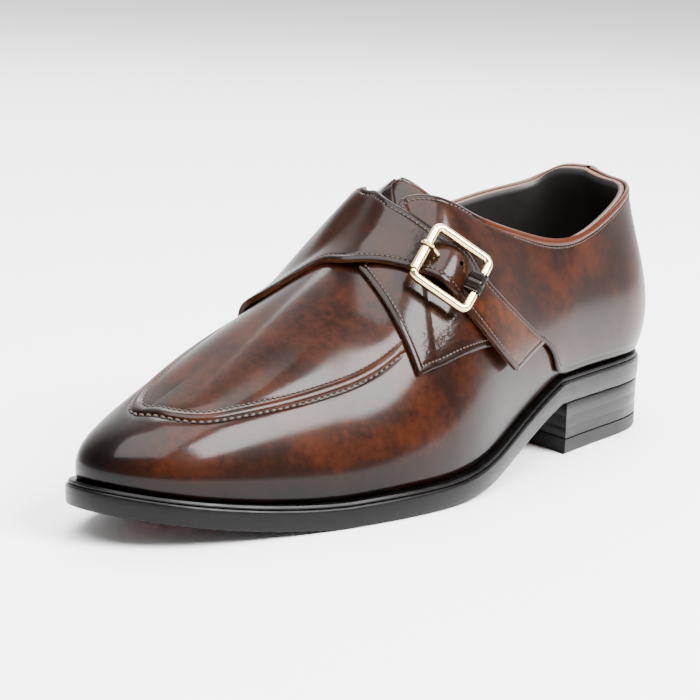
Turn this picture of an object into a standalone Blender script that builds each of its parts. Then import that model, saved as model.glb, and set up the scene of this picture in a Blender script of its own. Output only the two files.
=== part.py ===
"""Monk strap shoe for the left foot, modelled as separate solids at their real size.

Metres, +Z up. +X runs to the toe and +Y to the outer side of the foot. The origin lies
on the floor, under the middle of the heel. Blender 4.5: blender --background --python part.py
"""
import math

import bmesh
import bpy
import numpy as np
from mathutils import Matrix, Vector

MM = 0.001

# Driving sizes, each set once
LENGTH = 288 * MM            # sole, back to toe tip
BALL_WIDTH = 94 * MM         # sole at the ball
HEEL_HEIGHT = 19.6 * MM      # floor to the underside of the sole at the heel
TOE_SPRING = 11 * MM         # floor to the underside of the sole at the toe tip
SOLE_EDGE = 7.4 * MM         # height of the sole's side at the ball
WELT_HEIGHT = 1.4 * MM
WELT_INSET = 0.9 * MM        # sole's edge to the welt's edge
LEDGE = 2.6 * MM             # welt's edge to the upper
INSTEP_HEIGHT = 107 * MM     # floor to the top of the tongue

WALL = 2.2 * MM              # upper with its lining
PANEL = 1.4 * MM             # leather of a quarter
STRAP_THICK = 1.8 * MM       # folded leather of the strap
TONGUE = 1.8 * MM
GAP = 0.3 * MM               # between pieces that touch
APRON_BAND = 5.0 * MM        # width of the raised seam round the apron
APRON_RISE = 1.2 * MM
INSOLE = 2.5 * MM
TOP_PIECE = 5.5 * MM         # rubber under the heel
HEEL_INSET = 0.4 * MM        # sole's edge to the heel's side
SHARP_EDGE = 0.6 * MM        # bevel along the lower edge of the heel
BREAST_HOLLOW = 8.0 * MM     # depth of the heel's hollow front
BACK_STRIP = 9.0 * MM        # width of the strip over the back seam

BUCKLE_WIDTH = 25.2 * MM     # along the strap
BUCKLE_HEIGHT = 24.6 * MM    # across the strap
BUCKLE_CORNER = 4.0 * MM
BAR = 3.2 * MM               # round bar of the buckle's frame
CORE = 1.0 * MM              # radius of the narrow part of both bars
ROLLER = 3.6 * MM            # outer diameter
PRONG = 1.5 * MM             # thickness of the prong
PRONG_HOLE = 1.4 * MM        # radius of its hole in the strap
PRONG_REACH = 5.2 * MM       # front bar to the hole, down the strap
PLAY = 0.45 * MM             # sideways, of roller and prong on the front bar
STUB = 1.0 * MM              # frame's end to the roller
PRONG_DROP = 3.0 * MM        # middle of the buckle down to the prong's end
CHAPE = 1.0 * MM             # leather round the back bar
HUMP = 3.2 * MM              # bulge of the strap inside the buckle
STRIP = 1.2 * MM             # leather of the strip over the back seam

HEEL_CENTRE = 0.135 * LENGTH  # back of the sole to the origin
STATIONS = np.concatenate([np.linspace(0, 0.30, 8), np.linspace(0.30, 0.72, 25)[1:],
                           np.linspace(0.72, 1, 13)[1:]])
SOLE_STATIONS = np.linspace(0, 1, 57)
ROWS_BELOW = 4               # rows of faces below and above the apron's seam
ROWS_ABOVE = 5

# Sole's outline: place along the foot as a share of LENGTH, then the outer and inner
# half width as shares of BALL_WIDTH
SOLE_OUTLINE = (
    # place, outer, inner
    (0.024, 0.240, 0.205),
    (0.076, 0.350, 0.315),
    (0.156, 0.388, 0.340),
    (0.240, 0.400, 0.330),
    (0.330, 0.425, 0.295),
    (0.434, 0.478, 0.310),
    (0.538, 0.540, 0.420),
    (0.642, 0.530, 0.468),
    (0.745, 0.455, 0.445),
    (0.833, 0.365, 0.400),
    (0.910, 0.265, 0.338),
    (0.965, 0.150, 0.266),
    (0.990, 0.046, 0.198),
)
BACK_POINT = 0.012           # side shift of the sole's back end, share of BALL_WIDTH
TOE_POINT = -0.060           # side shift of the toe tip

BREAST = 0.297               # start of the arch, share of LENGTH
HEEL_FRONT = 0.285           # corners of the heel's front
FLAT_START = 0.625           # forefoot's flat tread, shares of LENGTH
FLAT_END = 0.745

# Top edge of the upper's form: the collar, the top of the throat at THROAT_STATION, then
# the ridge to the toe. Stations run from 0 at the back to 1 at the toe tip.
# Columns: station, place along the foot as a share of LENGTH, outer and inner half width
# as shares of BALL_WIDTH, outer and inner height as shares of INSTEP_HEIGHT
TOP_EDGE = (
    # station, place, outer, inner, outer height, inner height
    (0.00, 0.043, 0.010, -0.010, 0.935, 0.935),
    (0.10, 0.052, 0.130, 0.115, 0.908, 0.928),
    (0.20, 0.078, 0.246, 0.220, 0.880, 0.872),
    (0.30, 0.174, 0.308, 0.268, 0.792, 0.838),
    (0.40, 0.300, 0.318, 0.280, 0.748, 0.800),
    (0.45, 0.375, 0.300, 0.262, 0.790, 0.815),
    (0.50, 0.446, 0.262, 0.235, 0.855, 0.870),
    (0.54, 0.484, 0.165, 0.150, 0.945, 0.925),
    (0.58, 0.497, 0.000, 0.000, 1.000, 1.000),
    (0.64, 0.566, 0.000, 0.000, 0.825, 0.825),
    (0.70, 0.642, 0.000, 0.000, 0.705, 0.705),
    (0.80, 0.754, -0.030, 0.030, 0.566, 0.566),
    (0.90, 0.833, -0.045, 0.045, 0.463, 0.463),
    (1.00, 0.868, -0.050, 0.050, 0.418, 0.418),
)
THROAT_STATION = 0.58

# How each station's side curves from the sole's edge to the top edge. Rise and drop are
# shares of the side's height, flare and swell of BALL_WIDTH, crown of the side's run
SIDE_CURVE = (
    # station, rise, outer flare, inner flare, outer crown, inner crown, drop, swell
    (0.00, 0.33, 0.129, 0.129, 0.50, 0.50, 0.36, 0.014),
    (0.20, 0.34, 0.090, 0.090, 0.50, 0.50, 0.34, 0.013),
    (0.40, 0.38, 0.040, 0.070, 0.45, 0.45, 0.28, 0.010),
    (0.50, 0.38, 0.030, 0.060, 0.30, 0.25, 0.12, 0.000),
    (0.58, 0.40, 0.030, 0.030, 0.22, 0.14, 0.00, 0.000),
    (0.70, 0.43, 0.025, 0.030, 0.32, 0.42, 0.00, 0.000),
    (0.80, 0.48, 0.025, 0.025, 0.45, 0.60, 0.00, 0.000),
    (0.90, 0.52, 0.035, 0.035, 0.50, 0.62, 0.00, 0.000),
    (1.00, 0.55, 0.045, 0.045, 0.52, 0.52, 0.00, 0.000),
)

# Raised seam round the apron: station, then the row share of its lower edge on the outer
# and on the inner side
APRON_SEAM = (
    (0.00, 0.430, 0.430),
    (0.56, 0.380, 0.500),
    (0.66, 0.370, 0.560),
    (0.74, 0.380, 0.600),
    (0.80, 0.410, 0.620),
    (0.84, 0.445, 0.630),
    (0.88, 0.520, 0.645),
    (0.94, 0.640, 0.670),
    (1.00, 0.690, 0.690),
)
APRON_START = 0.632          # station where the seam leaves the quarters

# Edge of the throat in plan, outer half: place along the foot as a share of LENGTH, half
# width as a share of BALL_WIDTH
THROAT = (
    (0.360, 0.262),
    (0.440, 0.265),
    (0.488, 0.238),
    (0.508, 0.170),
    (0.528, 0.112),
    (0.560, 0.070),
    (0.585, 0.000),
)

# Tongue in plan, with the same two columns: all round
TONGUE_PLAN = (
    (0.400, 0.250),
    (0.560, 0.240),
    (0.630, 0.190),
    (0.655, 0.080),
    (0.655, -0.080),
    (0.630, -0.190),
    (0.560, -0.240),
    (0.400, -0.250),
)

# Quarters, from the back seam to the front edge: the lower edge leaves the sole and ends in
# a corner, the top edge is the collar, then the edge of the throat. Height runs from 0 at
# the sole's edge to 1 at the form's top edge. The inner one ends under the strap
OUTER_QUARTER = (
    # along, lower edge's station and height, top edge's station and height
    (0.00, 0.006, 0.030, 0.006, 1.000),
    (0.15, 0.110, 0.030, 0.115, 1.000),
    (0.30, 0.230, 0.030, 0.235, 1.000),
    (0.44, 0.335, 0.030, 0.345, 1.000),
    (0.50, 0.367, 0.050, 0.392, 1.000),
    (0.56, 0.385, 0.200, 0.435, 1.000),
    (0.62, 0.412, 0.355, 0.478, 1.000),
    (0.70, 0.462, 0.403, 0.520, 0.960),
    (0.78, 0.505, 0.385, 0.550, 0.850),
    (0.86, 0.540, 0.340, 0.583, 0.790),
    (0.93, 0.572, 0.300, 0.612, 0.790),
    (1.00, 0.599, 0.295, 0.649, 0.775),
)
INNER_QUARTER = OUTER_QUARTER[:6] + (
    (0.62, 0.412, 0.340, 0.478, 1.000),
    (0.70, 0.440, 0.380, 0.520, 0.960),
    (0.78, 0.465, 0.400, 0.550, 0.860),
    (0.88, 0.492, 0.400, 0.572, 0.800),
    (1.00, 0.525, 0.380, 0.590, 0.760),
)

# Strap, from its square end on the outer side over the instep to its wide inner end. Girth
# runs over the shoe: -1 at the sole's outer edge, 0 on the ridge, 1 at its inner edge. The
# last two columns say how far each edge lies on a quarter, 1, or on the vamp, 0
STRAP = (
    # along, rear edge's station and girth, front edge's station and girth, lift at both
    (0.00, 0.422, -0.635, 0.472, -0.715, 1.0, 1.0),
    (0.10, 0.458, -0.510, 0.508, -0.615, 1.0, 1.0),
    (0.20, 0.508, -0.400, 0.541, -0.545, 1.0, 1.0),
    (0.28, 0.545, -0.350, 0.570, -0.490, 1.0, 1.0),
    (0.34, 0.575, -0.310, 0.597, -0.430, 1.0, 1.0),
    (0.40, 0.598, -0.215, 0.622, -0.330, 1.0, 1.0),
    (0.46, 0.608, -0.110, 0.652, -0.200, 0.8, 0.9),
    (0.52, 0.612, 0.000, 0.680, -0.050, 0.3, 0.2),
    (0.58, 0.605, 0.110, 0.676, 0.100, 0.1, 0.0),
    (0.64, 0.590, 0.190, 0.686, 0.200, 0.6, 0.0),
    (0.70, 0.564, 0.235, 0.696, 0.290, 1.0, 0.3),
    (0.76, 0.530, 0.285, 0.682, 0.380, 1.0, 0.9),
    (0.82, 0.508, 0.355, 0.663, 0.465, 1.0, 1.0),
    (0.88, 0.497, 0.440, 0.642, 0.550, 1.0, 0.7),
    (0.94, 0.494, 0.530, 0.620, 0.630, 1.0, 0.2),
    (1.00, 0.500, 0.615, 0.599, 0.705, 1.0, 0.0),
)

# Middle of the buckle: shares of LENGTH, BALL_WIDTH and INSTEP_HEIGHT
BUCKLE_PLACE = (0.550, 0.382, 0.729)
BUCKLE_TURN = 27.8           # degrees, its face from square across towards the toe
BUCKLE_TILT = 27.0           # degrees, its face from upright towards the sky
BUCKLE_ROLL = -38.4          # degrees, the strap's way down through it
FRONT_BAR = (-0.394, 0.118)  # narrow part of each bar, shares of the buckle's height
BACK_BAR = (-0.150, 0.190)

WAIST_DOME = 0.22            # sag of the sole's middle in the arch, share of its height


def smooth_table(rows, column, places):
    """Values of one column of a table at the given places, on a natural cubic spline."""
    x = np.array([row[0] for row in rows], float)
    y = np.array([row[column] for row in rows], float)
    step = np.diff(x)
    slope = np.diff(y) / step
    count = len(x)
    matrix = np.zeros((count, count))
    right = np.zeros(count)
    matrix[0, 0] = matrix[-1, -1] = 1.0
    for i in range(1, count - 1):
        matrix[i, i - 1:i + 2] = step[i - 1], 2 * (step[i - 1] + step[i]), step[i]
        right[i] = 6 * (slope[i] - slope[i - 1])
    bend = np.linalg.solve(matrix, right)
    at = np.clip(np.asarray(places, float), x[0], x[-1])
    i = np.clip(np.searchsorted(x, at) - 1, 0, count - 2)
    a = (x[i + 1] - at) / step[i]
    b = (at - x[i]) / step[i]
    cubic = ((a ** 3 - a) * bend[i] + (b ** 3 - b) * bend[i + 1]) * step[i] ** 2 / 6
    return a * y[i] + b * y[i + 1] + cubic


def sole_outline():
    """Dense points round the sole's outline and their outward normals, from the back
    along the outer side to the toe tip and back along the inner side."""
    corners = [(0.0, BACK_POINT * BALL_WIDTH)]
    corners += [(p * LENGTH, outer * BALL_WIDTH) for p, outer, _ in SOLE_OUTLINE]
    corners += [(LENGTH, TOE_POINT * BALL_WIDTH)]
    corners += [(p * LENGTH, -inner * BALL_WIDTH) for p, _, inner in reversed(SOLE_OUTLINE)]
    lap = 4
    closed = np.array(corners[-lap:] + corners + corners[:lap])
    run = np.concatenate([[0.0], np.cumsum(np.hypot(*np.diff(closed, axis=0).T))])
    places = np.linspace(run[lap], run[lap + len(corners)], 1600, endpoint=False)
    rows = list(zip(run, closed[:, 0], closed[:, 1]))
    points = np.stack([smooth_table(rows, 1, places), smooth_table(rows, 2, places)], 1)
    along = np.roll(points, -1, 0) - np.roll(points, 1, 0)
    normals = np.stack([-along[:, 1], along[:, 0]], 1)
    return points, normals / np.linalg.norm(normals, axis=1)[:, None]


OUTLINE, OUTWARD = sole_outline()


def edge_line(stations, side, inset):
    """Points and outward normals at the stations of one side, inset from the sole's edge."""
    points = OUTLINE - OUTWARD * inset
    back = points[:, 0].argmin()
    points, normals = np.roll(points, -back, 0), np.roll(OUTWARD, -back, 0)
    toe = points[:, 0].argmax()
    half = np.arange(toe + 1) if side > 0 else np.r_[0, np.arange(len(points) - 1, toe - 1, -1)]
    x, y = points[half].T
    at = x[0] + (x[-1] - x[0]) * (1 - np.cos(np.pi * np.asarray(stations))) / 2
    order = np.maximum.accumulate(x)
    normal = np.stack([np.interp(at, order, normals[half, k]) for k in (0, 1)], 1)
    normal /= np.linalg.norm(normal, axis=1)[:, None]
    return np.stack([at, np.interp(at, order, y)], 1), normal


def underside(x):
    """Height of the sole's underside: heel seat, arch, flat tread and toe spring."""
    place = np.asarray(x, float) / LENGTH
    arch = np.clip((place - BREAST) / (FLAT_START - BREAST), 0, 1)
    toe = np.clip((place - FLAT_END) / (1 - FLAT_END), 0, None)
    return HEEL_HEIGHT * (1 - arch) ** 2.3 * (1 + arch) + TOE_SPRING * toe ** 1.6


def sole_top(x):
    """Height of the sole's upper face, on an edge that thins a little to the toe."""
    return underside(x) + SOLE_EDGE * (1.19 - 0.27 * np.asarray(x, float) / LENGTH)


def shoe_form(stations, rows, side):
    """Grid of points on one side of the upper's outer form: [station, row, xyz]."""
    foot, outward = edge_line(stations, side, WELT_INSET + LEDGE)
    foot = np.column_stack([foot, sole_top(foot[:, 0]) + WELT_HEIGHT + GAP])
    outward = np.column_stack([outward, np.zeros(len(foot))])
    edge = {n: smooth_table(TOP_EDGE, n, stations) for n in range(1, 6)}
    half, height = (edge[2], edge[4]) if side > 0 else (-edge[3], edge[5])
    on_ridge = np.asarray(stations) > THROAT_STATION - 0.001
    half = np.where(on_ridge, 0.5 * (edge[2] - edge[3]), half)
    height = np.where(on_ridge, 0.5 * (edge[4] + edge[5]), height)
    top = np.stack([edge[1] * LENGTH, half * BALL_WIDTH, height * INSTEP_HEIGHT], 1)
    columns = (1, 2, 4, 6, 7) if side > 0 else (1, 3, 5, 6, 7)
    rise, flare, crown, drop, swell = (smooth_table(SIDE_CURVE, n, stations)[:, None] for n in columns)
    tall = (top - foot)[:, 2:]
    up = np.array([[0.0, 0.0, 1.0]])
    near = np.asarray(stations, float) + np.array([[-0.004], [0.004]])
    (low, high), (back, front) = smooth_table(TOP_EDGE, 4, near), smooth_table(TOP_EDGE, 1, near)
    ridge_slope = (high - low) * INSTEP_HEIGHT / ((front - back) * LENGTH)
    run = (foot - top) * (1, 1, 0)
    lean = np.where(on_ridge[:, None], run[:, :1] * ridge_slope[:, None], 0.0)
    first = foot + rise * tall * up + flare * BALL_WIDTH * outward
    second = top + crown * run + swell * BALL_WIDTH * outward + (crown * lean - drop * tall) * up
    t = np.broadcast_to(rows, (len(foot), np.shape(rows)[-1]))[:, :, None]
    a, b, c, d = (p[:, None, :] for p in (foot, first, second, top))
    return a * (1 - t) ** 3 + 3 * b * t * (1 - t) ** 2 + 3 * c * t ** 2 * (1 - t) + d * t ** 3


def seam_rows(stations, side):
    """Row shares that follow the apron's seam, and how far each row is raised."""
    seam = smooth_table(APRON_SEAM, 1 if side > 0 else 2, stations)[:, None]
    curve = shoe_form(stations, np.linspace(0, 1, 9), side)
    run = np.linalg.norm(np.diff(curve, axis=1), axis=2).sum(1)[:, None]
    low = seam * np.linspace(0, 1, ROWS_BELOW + 1)
    ridge = seam + APRON_BAND / run * (0.2, 0.6, 1.0)
    high = ridge[:, -1:] + (1 - ridge[:, -1:]) * np.linspace(0, 1, ROWS_ABOVE + 1)[1:]
    rows = np.concatenate([low, ridge, high], 1)
    fade = np.clip((np.asarray(stations) - APRON_START) / 0.02, 0, 1)[:, None]
    rise = np.zeros_like(rows)
    rise[:, ROWS_BELOW + 1:ROWS_BELOW + 3] = fade * (APRON_RISE, 0.8 * APRON_RISE)
    return rows, rise


# Blender objects

def remove_everything():
    for old in list(bpy.data.objects):
        bpy.data.objects.remove(old, do_unlink=True)


def new_collection(name):
    collection = bpy.data.collections.new(name)
    bpy.context.scene.collection.children.link(collection)
    return collection


def material(name, colour, roughness, metallic=0.0):
    made = bpy.data.materials.new(name)
    made.use_nodes = True
    shader = made.node_tree.nodes["Principled BSDF"]
    shader.inputs["Base Color"].default_value = (*colour, 1.0)
    shader.inputs["Roughness"].default_value = roughness
    shader.inputs["Metallic"].default_value = metallic
    return made


def mesh_from(bm, name, closed=True):
    bmesh.ops.remove_doubles(bm, verts=bm.verts, dist=0.00001)
    if closed:
        bmesh.ops.recalc_face_normals(bm, faces=bm.faces)
    mesh = bpy.data.meshes.new(name)
    bm.to_mesh(mesh)
    bm.free()
    return mesh


def add_part(name, mesh, look):
    made = bpy.data.objects.new(name, mesh)
    PARTS.objects.link(made)
    made.parent = SHOE
    mesh.materials.append(look)
    mesh.shade_smooth()
    mesh.set_sharp_from_angle(angle=math.radians(35))
    return made


def cut(part, cutter, operation="DIFFERENCE"):
    step = part.modifiers.new(cutter.name, "BOOLEAN")
    step.operation = operation
    step.solver = "EXACT"
    step.object = cutter
    return part


def add_cutter(name, bm):
    made = bpy.data.objects.new(name, mesh_from(bm, name))
    CUTTERS.objects.link(made)
    made.parent = SHOE
    made.hide_render = True
    made.display_type = "WIRE"
    return made


def prism(name, outline, low, high):
    """Upright cutter with a flat outline."""
    bm = bmesh.new()
    face = bm.faces.new([bm.verts.new((x, y, low)) for x, y in outline])
    swept = bmesh.ops.extrude_face_region(bm, geom=[face])["geom"]
    moved = [v for v in swept if isinstance(v, bmesh.types.BMVert)]
    bmesh.ops.translate(bm, verts=moved, vec=(0, 0, high - low))
    return add_cutter(name, bm)


def cylinder(name, radius, depth):
    bm = bmesh.new()
    bmesh.ops.create_cone(bm, cap_ends=True, segments=16, radius1=radius, radius2=radius, depth=depth)
    return add_cutter(name, bm)


def tube_mesh(name, inner, outer, length):
    """Tube along Z, centred, from four rings."""
    bm = bmesh.new()
    loops = []
    for radius, z in ((inner, -0.5), (outer, -0.5), (outer, 0.5), (inner, 0.5)):
        made = bmesh.ops.create_circle(bm, segments=20, radius=radius)["verts"]
        bmesh.ops.translate(bm, verts=made, vec=(0, 0, z * length))
        loops.append(made)
    for low, high in zip(loops, loops[1:] + loops[:1]):
        bridge(bm, low, high)
    return mesh_from(bm, name)


def ring(inset, height):
    """Points round the shoe at one inset: outer side to the toe, then the inner side."""
    outer, _ = edge_line(SOLE_STATIONS, 1, inset)
    inner, _ = edge_line(SOLE_STATIONS, -1, inset)
    line = np.concatenate([outer, inner[-2:0:-1]])
    return np.column_stack([line, height(line[:, 0])])


def bridge(bm, low, high):
    count = len(low)
    for i in range(count):
        j = (i + 1) % count
        bm.faces.new((low[i], low[j], high[j], high[i]))


def cross_faces(bm, loop, strips, sag):
    """Close a ring with strips from its outer side to its inner side, sagging midway."""
    half = len(loop) // 2
    columns = []
    for i in range(half + 1):
        a, b = loop[i], loop[-i]
        column = [a]
        if a is not b:
            for k in range(1, strips):
                share = k / strips
                point = a.co.lerp(b.co, share)
                point.z -= sag(point.x) * 4 * share * (1 - share)
                column.append(bm.verts.new(point))
            column.append(b)
        columns.append(column)
    for near, far in zip(columns, columns[1:]):
        for k in range(strips):
            corners = [near[min(k, len(near) - 1)], near[min(k + 1, len(near) - 1)],
                       far[min(k + 1, len(far) - 1)], far[min(k, len(far) - 1)]]
            bm.faces.new(list(dict.fromkeys(corners)))


def stack(name, rings, strips=2, sag=lambda x: 0.0):
    """Solid between rings from the bottom up, closed across the shoe at both ends."""
    bm = bmesh.new()
    loops = [[bm.verts.new(p) for p in points] for points in rings]
    for low, high in zip(loops, loops[1:]):
        bridge(bm, low, high)
    cross_faces(bm, loops[0], strips, sag)
    cross_faces(bm, loops[-1], 1, lambda x: 0.0)
    return mesh_from(bm, name)


def hoop(name, rings):
    """Solid whose section runs through the rings and back to the first."""
    bm = bmesh.new()
    loops = [[bm.verts.new(p) for p in points] for points in rings]
    for low, high in zip(loops, loops[1:] + loops[:1]):
        bridge(bm, low, high)
    return mesh_from(bm, name)


def sheet(bm, grid, lift, flip):
    """Faces over a grid of points; lift is how far each point is raised later."""
    raised = bm.verts.layers.float["raised"]
    verts = [[bm.verts.new(p) for p in line] for line in grid]
    for line, heights in zip(verts, lift):
        for vert, height in zip(line, heights):
            vert[raised] = height
    for near, far in zip(verts, verts[1:]):
        for j in range(len(near) - 1):
            face = (near[j], near[j + 1], far[j + 1], far[j])
            bm.faces.new(face[::-1] if flip else face)


def shell(name, bm, offset, thickness, look):
    """Leather at an offset from the form's surface, with its own thickness."""
    raised = bm.verts.layers.float["raised"]
    bmesh.ops.remove_doubles(bm, verts=bm.verts, dist=0.00001)
    bm.normal_update()
    for vert in bm.verts:
        vert.co += vert.normal * (offset + vert[raised])
    part = add_part(name, mesh_from(bm, name, closed=False), look)
    step = part.modifiers.new("thickness", "SOLIDIFY")
    step.thickness = thickness
    step.offset = 1.0
    return part


def raised_mesh():
    bm = bmesh.new()
    bm.verts.layers.float.new("raised")
    return bm


def loft(table, along, across, side=None):
    """Points on the form between two edges that a table gives along a piece of leather.
    With no side, the table's heights are girths over both sides."""
    place = np.linspace(0, 1, along)
    share = np.linspace(0, 1, across)
    edges = [smooth_table(table, n, place)[:, None] for n in (1, 2, 3, 4)]
    stations = (edges[0] + (edges[2] - edges[0]) * share).ravel()
    girth = (edges[1] + (edges[3] - edges[1]) * share).ravel()
    if side:
        points = shoe_form(stations, girth[:, None], side)[:, 0]
    else:
        outer, inner = (shoe_form(stations, 1 - np.abs(girth)[:, None], s)[:, 0] for s in (1, -1))
        points = np.where(girth[:, None] < 0, outer, inner)
    return points.reshape(along, across, 3)


def form_patch(name, offset, thickness, stations, look, rows=None):
    """Leather that follows a stretch of the upper's form."""
    bm = raised_mesh()
    for side in (1, -1):
        if rows is None:
            places, rise = seam_rows(stations, side)
        else:
            places, rise = rows, np.zeros((len(stations), len(rows)))
        sheet(bm, shoe_form(stations, places, side), rise, side < 0)
    return shell(name, bm, offset, thickness, look)


def in_sizes(table, *sizes):
    return [tuple(share * size for share, size in zip(row, sizes)) for row in table]


# Scene

remove_everything()
PARTS = new_collection("monk_strap_shoe")
CUTTERS = new_collection("cutters")
SHOE = bpy.data.objects.new("shoe", None)
SHOE.location.x = -HEEL_CENTRE
PARTS.objects.link(SHOE)

BROWN = material("brown calf leather", (0.085, 0.022, 0.010), 0.22)
TAN = material("tan calf leather", (0.160, 0.045, 0.015), 0.28)
BLACK = material("black polished leather", (0.012, 0.011, 0.011), 0.30)
RUBBER = material("black rubber", (0.020, 0.020, 0.020), 0.70)
INSOLE_LEATHER = material("dark insole leather", (0.030, 0.016, 0.012), 0.60)
BRASS = material("polished pale brass", (0.830, 0.690, 0.460), 0.12, 1.0)


# Sole, welt and insole

def waist_sag(x):
    """The sole's middle hangs a little lower than its edge in the arch."""
    place = x / LENGTH
    window = np.clip((place - BREAST) / 0.03, 0, 1) * np.clip((FLAT_START - place) / 0.10, 0, 1)
    return float(WAIST_DOME * underside(x) * window)


add_part("outsole", stack("outsole", [
    ring(1.3 * MM, underside),
    ring(0.2 * MM, lambda x: underside(x) + 1.2 * MM),
    ring(0.0, lambda x: sole_top(x) - 1.0 * MM),
    ring(0.5 * MM, sole_top),
], 4, waist_sag), BLACK)

WELT_INNER = WELT_INSET + LEDGE + WALL + GAP
add_part("welt", hoop("welt", [
    ring(WELT_INSET, lambda x: sole_top(x) + GAP),
    ring(WELT_INSET, lambda x: sole_top(x) + WELT_HEIGHT),
    ring(WELT_INNER, lambda x: sole_top(x) + WELT_HEIGHT),
    ring(WELT_INNER, lambda x: sole_top(x) + GAP),
]), BLACK)

add_part("insole", stack("insole", [
    ring(WELT_INNER + GAP, lambda x: sole_top(x) + GAP),
    ring(WELT_INNER + GAP, lambda x: sole_top(x) + GAP + INSOLE),
]), INSOLE_LEATHER)


# Heel

def heel_ring(inset, z):
    """Outline of the heel with its hollow front, at one height."""
    front = HEEL_FRONT * LENGTH
    last = math.acos(1 - 2 * front / LENGTH) / math.pi
    stations = np.linspace(0, last, 15)
    outer, _ = edge_line(stations, 1, inset)
    inner, _ = edge_line(stations, -1, inset)
    share = np.linspace(0, 1, 10)[1:-1, None]
    hollow = inner[-1] + (outer[-1] - inner[-1]) * share
    hollow[:, 0] -= BREAST_HOLLOW * 4 * (share * (1 - share))[:, 0]
    line = np.concatenate([outer[::-1], inner[1:], hollow])
    return np.column_stack([line, np.full(len(line), z)])


def heel_solid(name, rings):
    bm = bmesh.new()
    loops = [[bm.verts.new(p) for p in points] for points in rings]
    for low, high in zip(loops, loops[1:]):
        bridge(bm, low, high)
    bm.faces.new(loops[0])
    bm.faces.new(loops[-1])
    return mesh_from(bm, name)


add_part("heel_top_piece", heel_solid("heel_top_piece", [
    heel_ring(HEEL_INSET + SHARP_EDGE, 0.0),
    heel_ring(HEEL_INSET, SHARP_EDGE),
    heel_ring(HEEL_INSET, TOP_PIECE),
]), RUBBER)
add_part("heel_block", heel_solid("heel_block", [
    heel_ring(HEEL_INSET, TOP_PIECE + GAP),
    heel_ring(HEEL_INSET, HEEL_HEIGHT - GAP),
]), BLACK)


# Upper and tongue

throat_half = in_sizes(THROAT, LENGTH, BALL_WIDTH)
throat = throat_half + [(x, -y) for x, y in throat_half[-2::-1]]
throat_cutter = prism("throat_cutter", throat, 0.4 * INSTEP_HEIGHT, 2 * INSTEP_HEIGHT)

upper = form_patch("upper", -WALL, WALL, STATIONS, BROWN)
cut(upper, throat_cutter)

tongue_plan = in_sizes(TONGUE_PLAN, LENGTH, BALL_WIDTH)
tongue_cutter = prism("tongue_cutter", tongue_plan, 0.0, 2 * INSTEP_HEIGHT)
tongue_stations = STATIONS[(STATIONS > 0.44) & (STATIONS < 0.74)]
tongue = form_patch("tongue", -WALL - 2 * GAP - TONGUE, TONGUE, tongue_stations, BROWN,
                    rows=np.linspace(0.5, 1, 10))
cut(tongue, tongue_cutter, "INTERSECT")


# Quarters

for name, table, side in (("outer_quarter", OUTER_QUARTER, 1), ("inner_quarter", INNER_QUARTER, -1)):
    grid = loft(table, 45, 11, side)
    bm = raised_mesh()
    sheet(bm, grid, np.zeros(grid.shape[:2]), side < 0)
    shell(name, bm, GAP, PANEL, BROWN)


# Buckle's own frame: x runs down the strap, y along the bars, z out of the shoe

def buckle_axes():
    turn, tilt, roll = (math.radians(a) for a in (BUCKLE_TURN, BUCKLE_TILT, BUCKLE_ROLL))
    out = Vector((math.sin(turn) * math.cos(tilt), math.cos(turn) * math.cos(tilt), math.sin(tilt)))
    level = Vector((0, 0, 1)).cross(out).normalized()
    down = math.cos(roll) * level + math.sin(roll) * out.cross(level)
    return Matrix((down, out.cross(down), out)).transposed()


BUCKLE_AXES = buckle_axes()
BUCKLE = bpy.data.objects.new("buckle", None)
PARTS.objects.link(BUCKLE)
BUCKLE.parent = SHOE
BUCKLE.location = [share * size for share, size in
                   zip(BUCKLE_PLACE, (LENGTH, BALL_WIDTH, INSTEP_HEIGHT))]
BUCKLE.rotation_euler = BUCKLE_AXES.to_euler()

HALF_WIDTH = (BUCKLE_WIDTH - BAR) / 2    # middle of the frame to the middle of a bar
HALF_HEIGHT = (BUCKLE_HEIGHT - BAR) / 2
PRONG_SIDE = FRONT_BAR[1] * BUCKLE_HEIGHT - PLAY - PRONG / 2
ROLLER_START = FRONT_BAR[0] * BUCKLE_HEIGHT + STUB
ROLLER_LENGTH = PRONG_SIDE - PRONG / 2 - PLAY - ROLLER_START


def hump(points):
    """How far the strap bulges inside the buckle, between its bars."""
    local = (np.asarray(points) - np.array(BUCKLE.location)) @ np.array(BUCKLE_AXES)
    along = np.clip(np.abs(local[:, 0]) / HALF_WIDTH, 0, 1)
    across = np.clip(np.abs(local[:, 1]) / (HALF_HEIGHT + BAR), 0, 1)
    near = np.abs(local[:, 2]) < BUCKLE_HEIGHT
    return HUMP * np.cos(along * math.pi / 2) ** 2 * (1 - across ** 3) * near


# Strap over the instep, down to its end on the outer side

def strap_lift(along, across):
    """How far the strap rises where it lies on a quarter, over a grid like the loft's."""
    place = np.linspace(0, 1, along)
    rear, front = (smooth_table(STRAP, n, place)[:, None] for n in (5, 6))
    share = np.clip((np.linspace(0, 1, across) - 0.42) / 0.30, 0, 1)
    blend = share * share * (3 - 2 * share)
    return (PANEL + GAP) * (rear + (front - rear) * blend)


grid = loft(STRAP, 57, 11)
bm = raised_mesh()
sheet(bm, grid, strap_lift(57, 11) + hump(grid.reshape(-1, 3)).reshape(grid.shape[:2]), True)
strap = shell("strap", bm, 2 * GAP, STRAP_THICK, TAN)
hole_cutter = cylinder("prong_hole_cutter", PRONG_HOLE, 2 * BUCKLE_WIDTH)
hole_cutter.parent = BUCKLE
hole_cutter.location = (-HALF_WIDTH + PRONG_REACH, PRONG_SIDE, 0)
cut(strap, hole_cutter)


# Strip over the back seam

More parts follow.
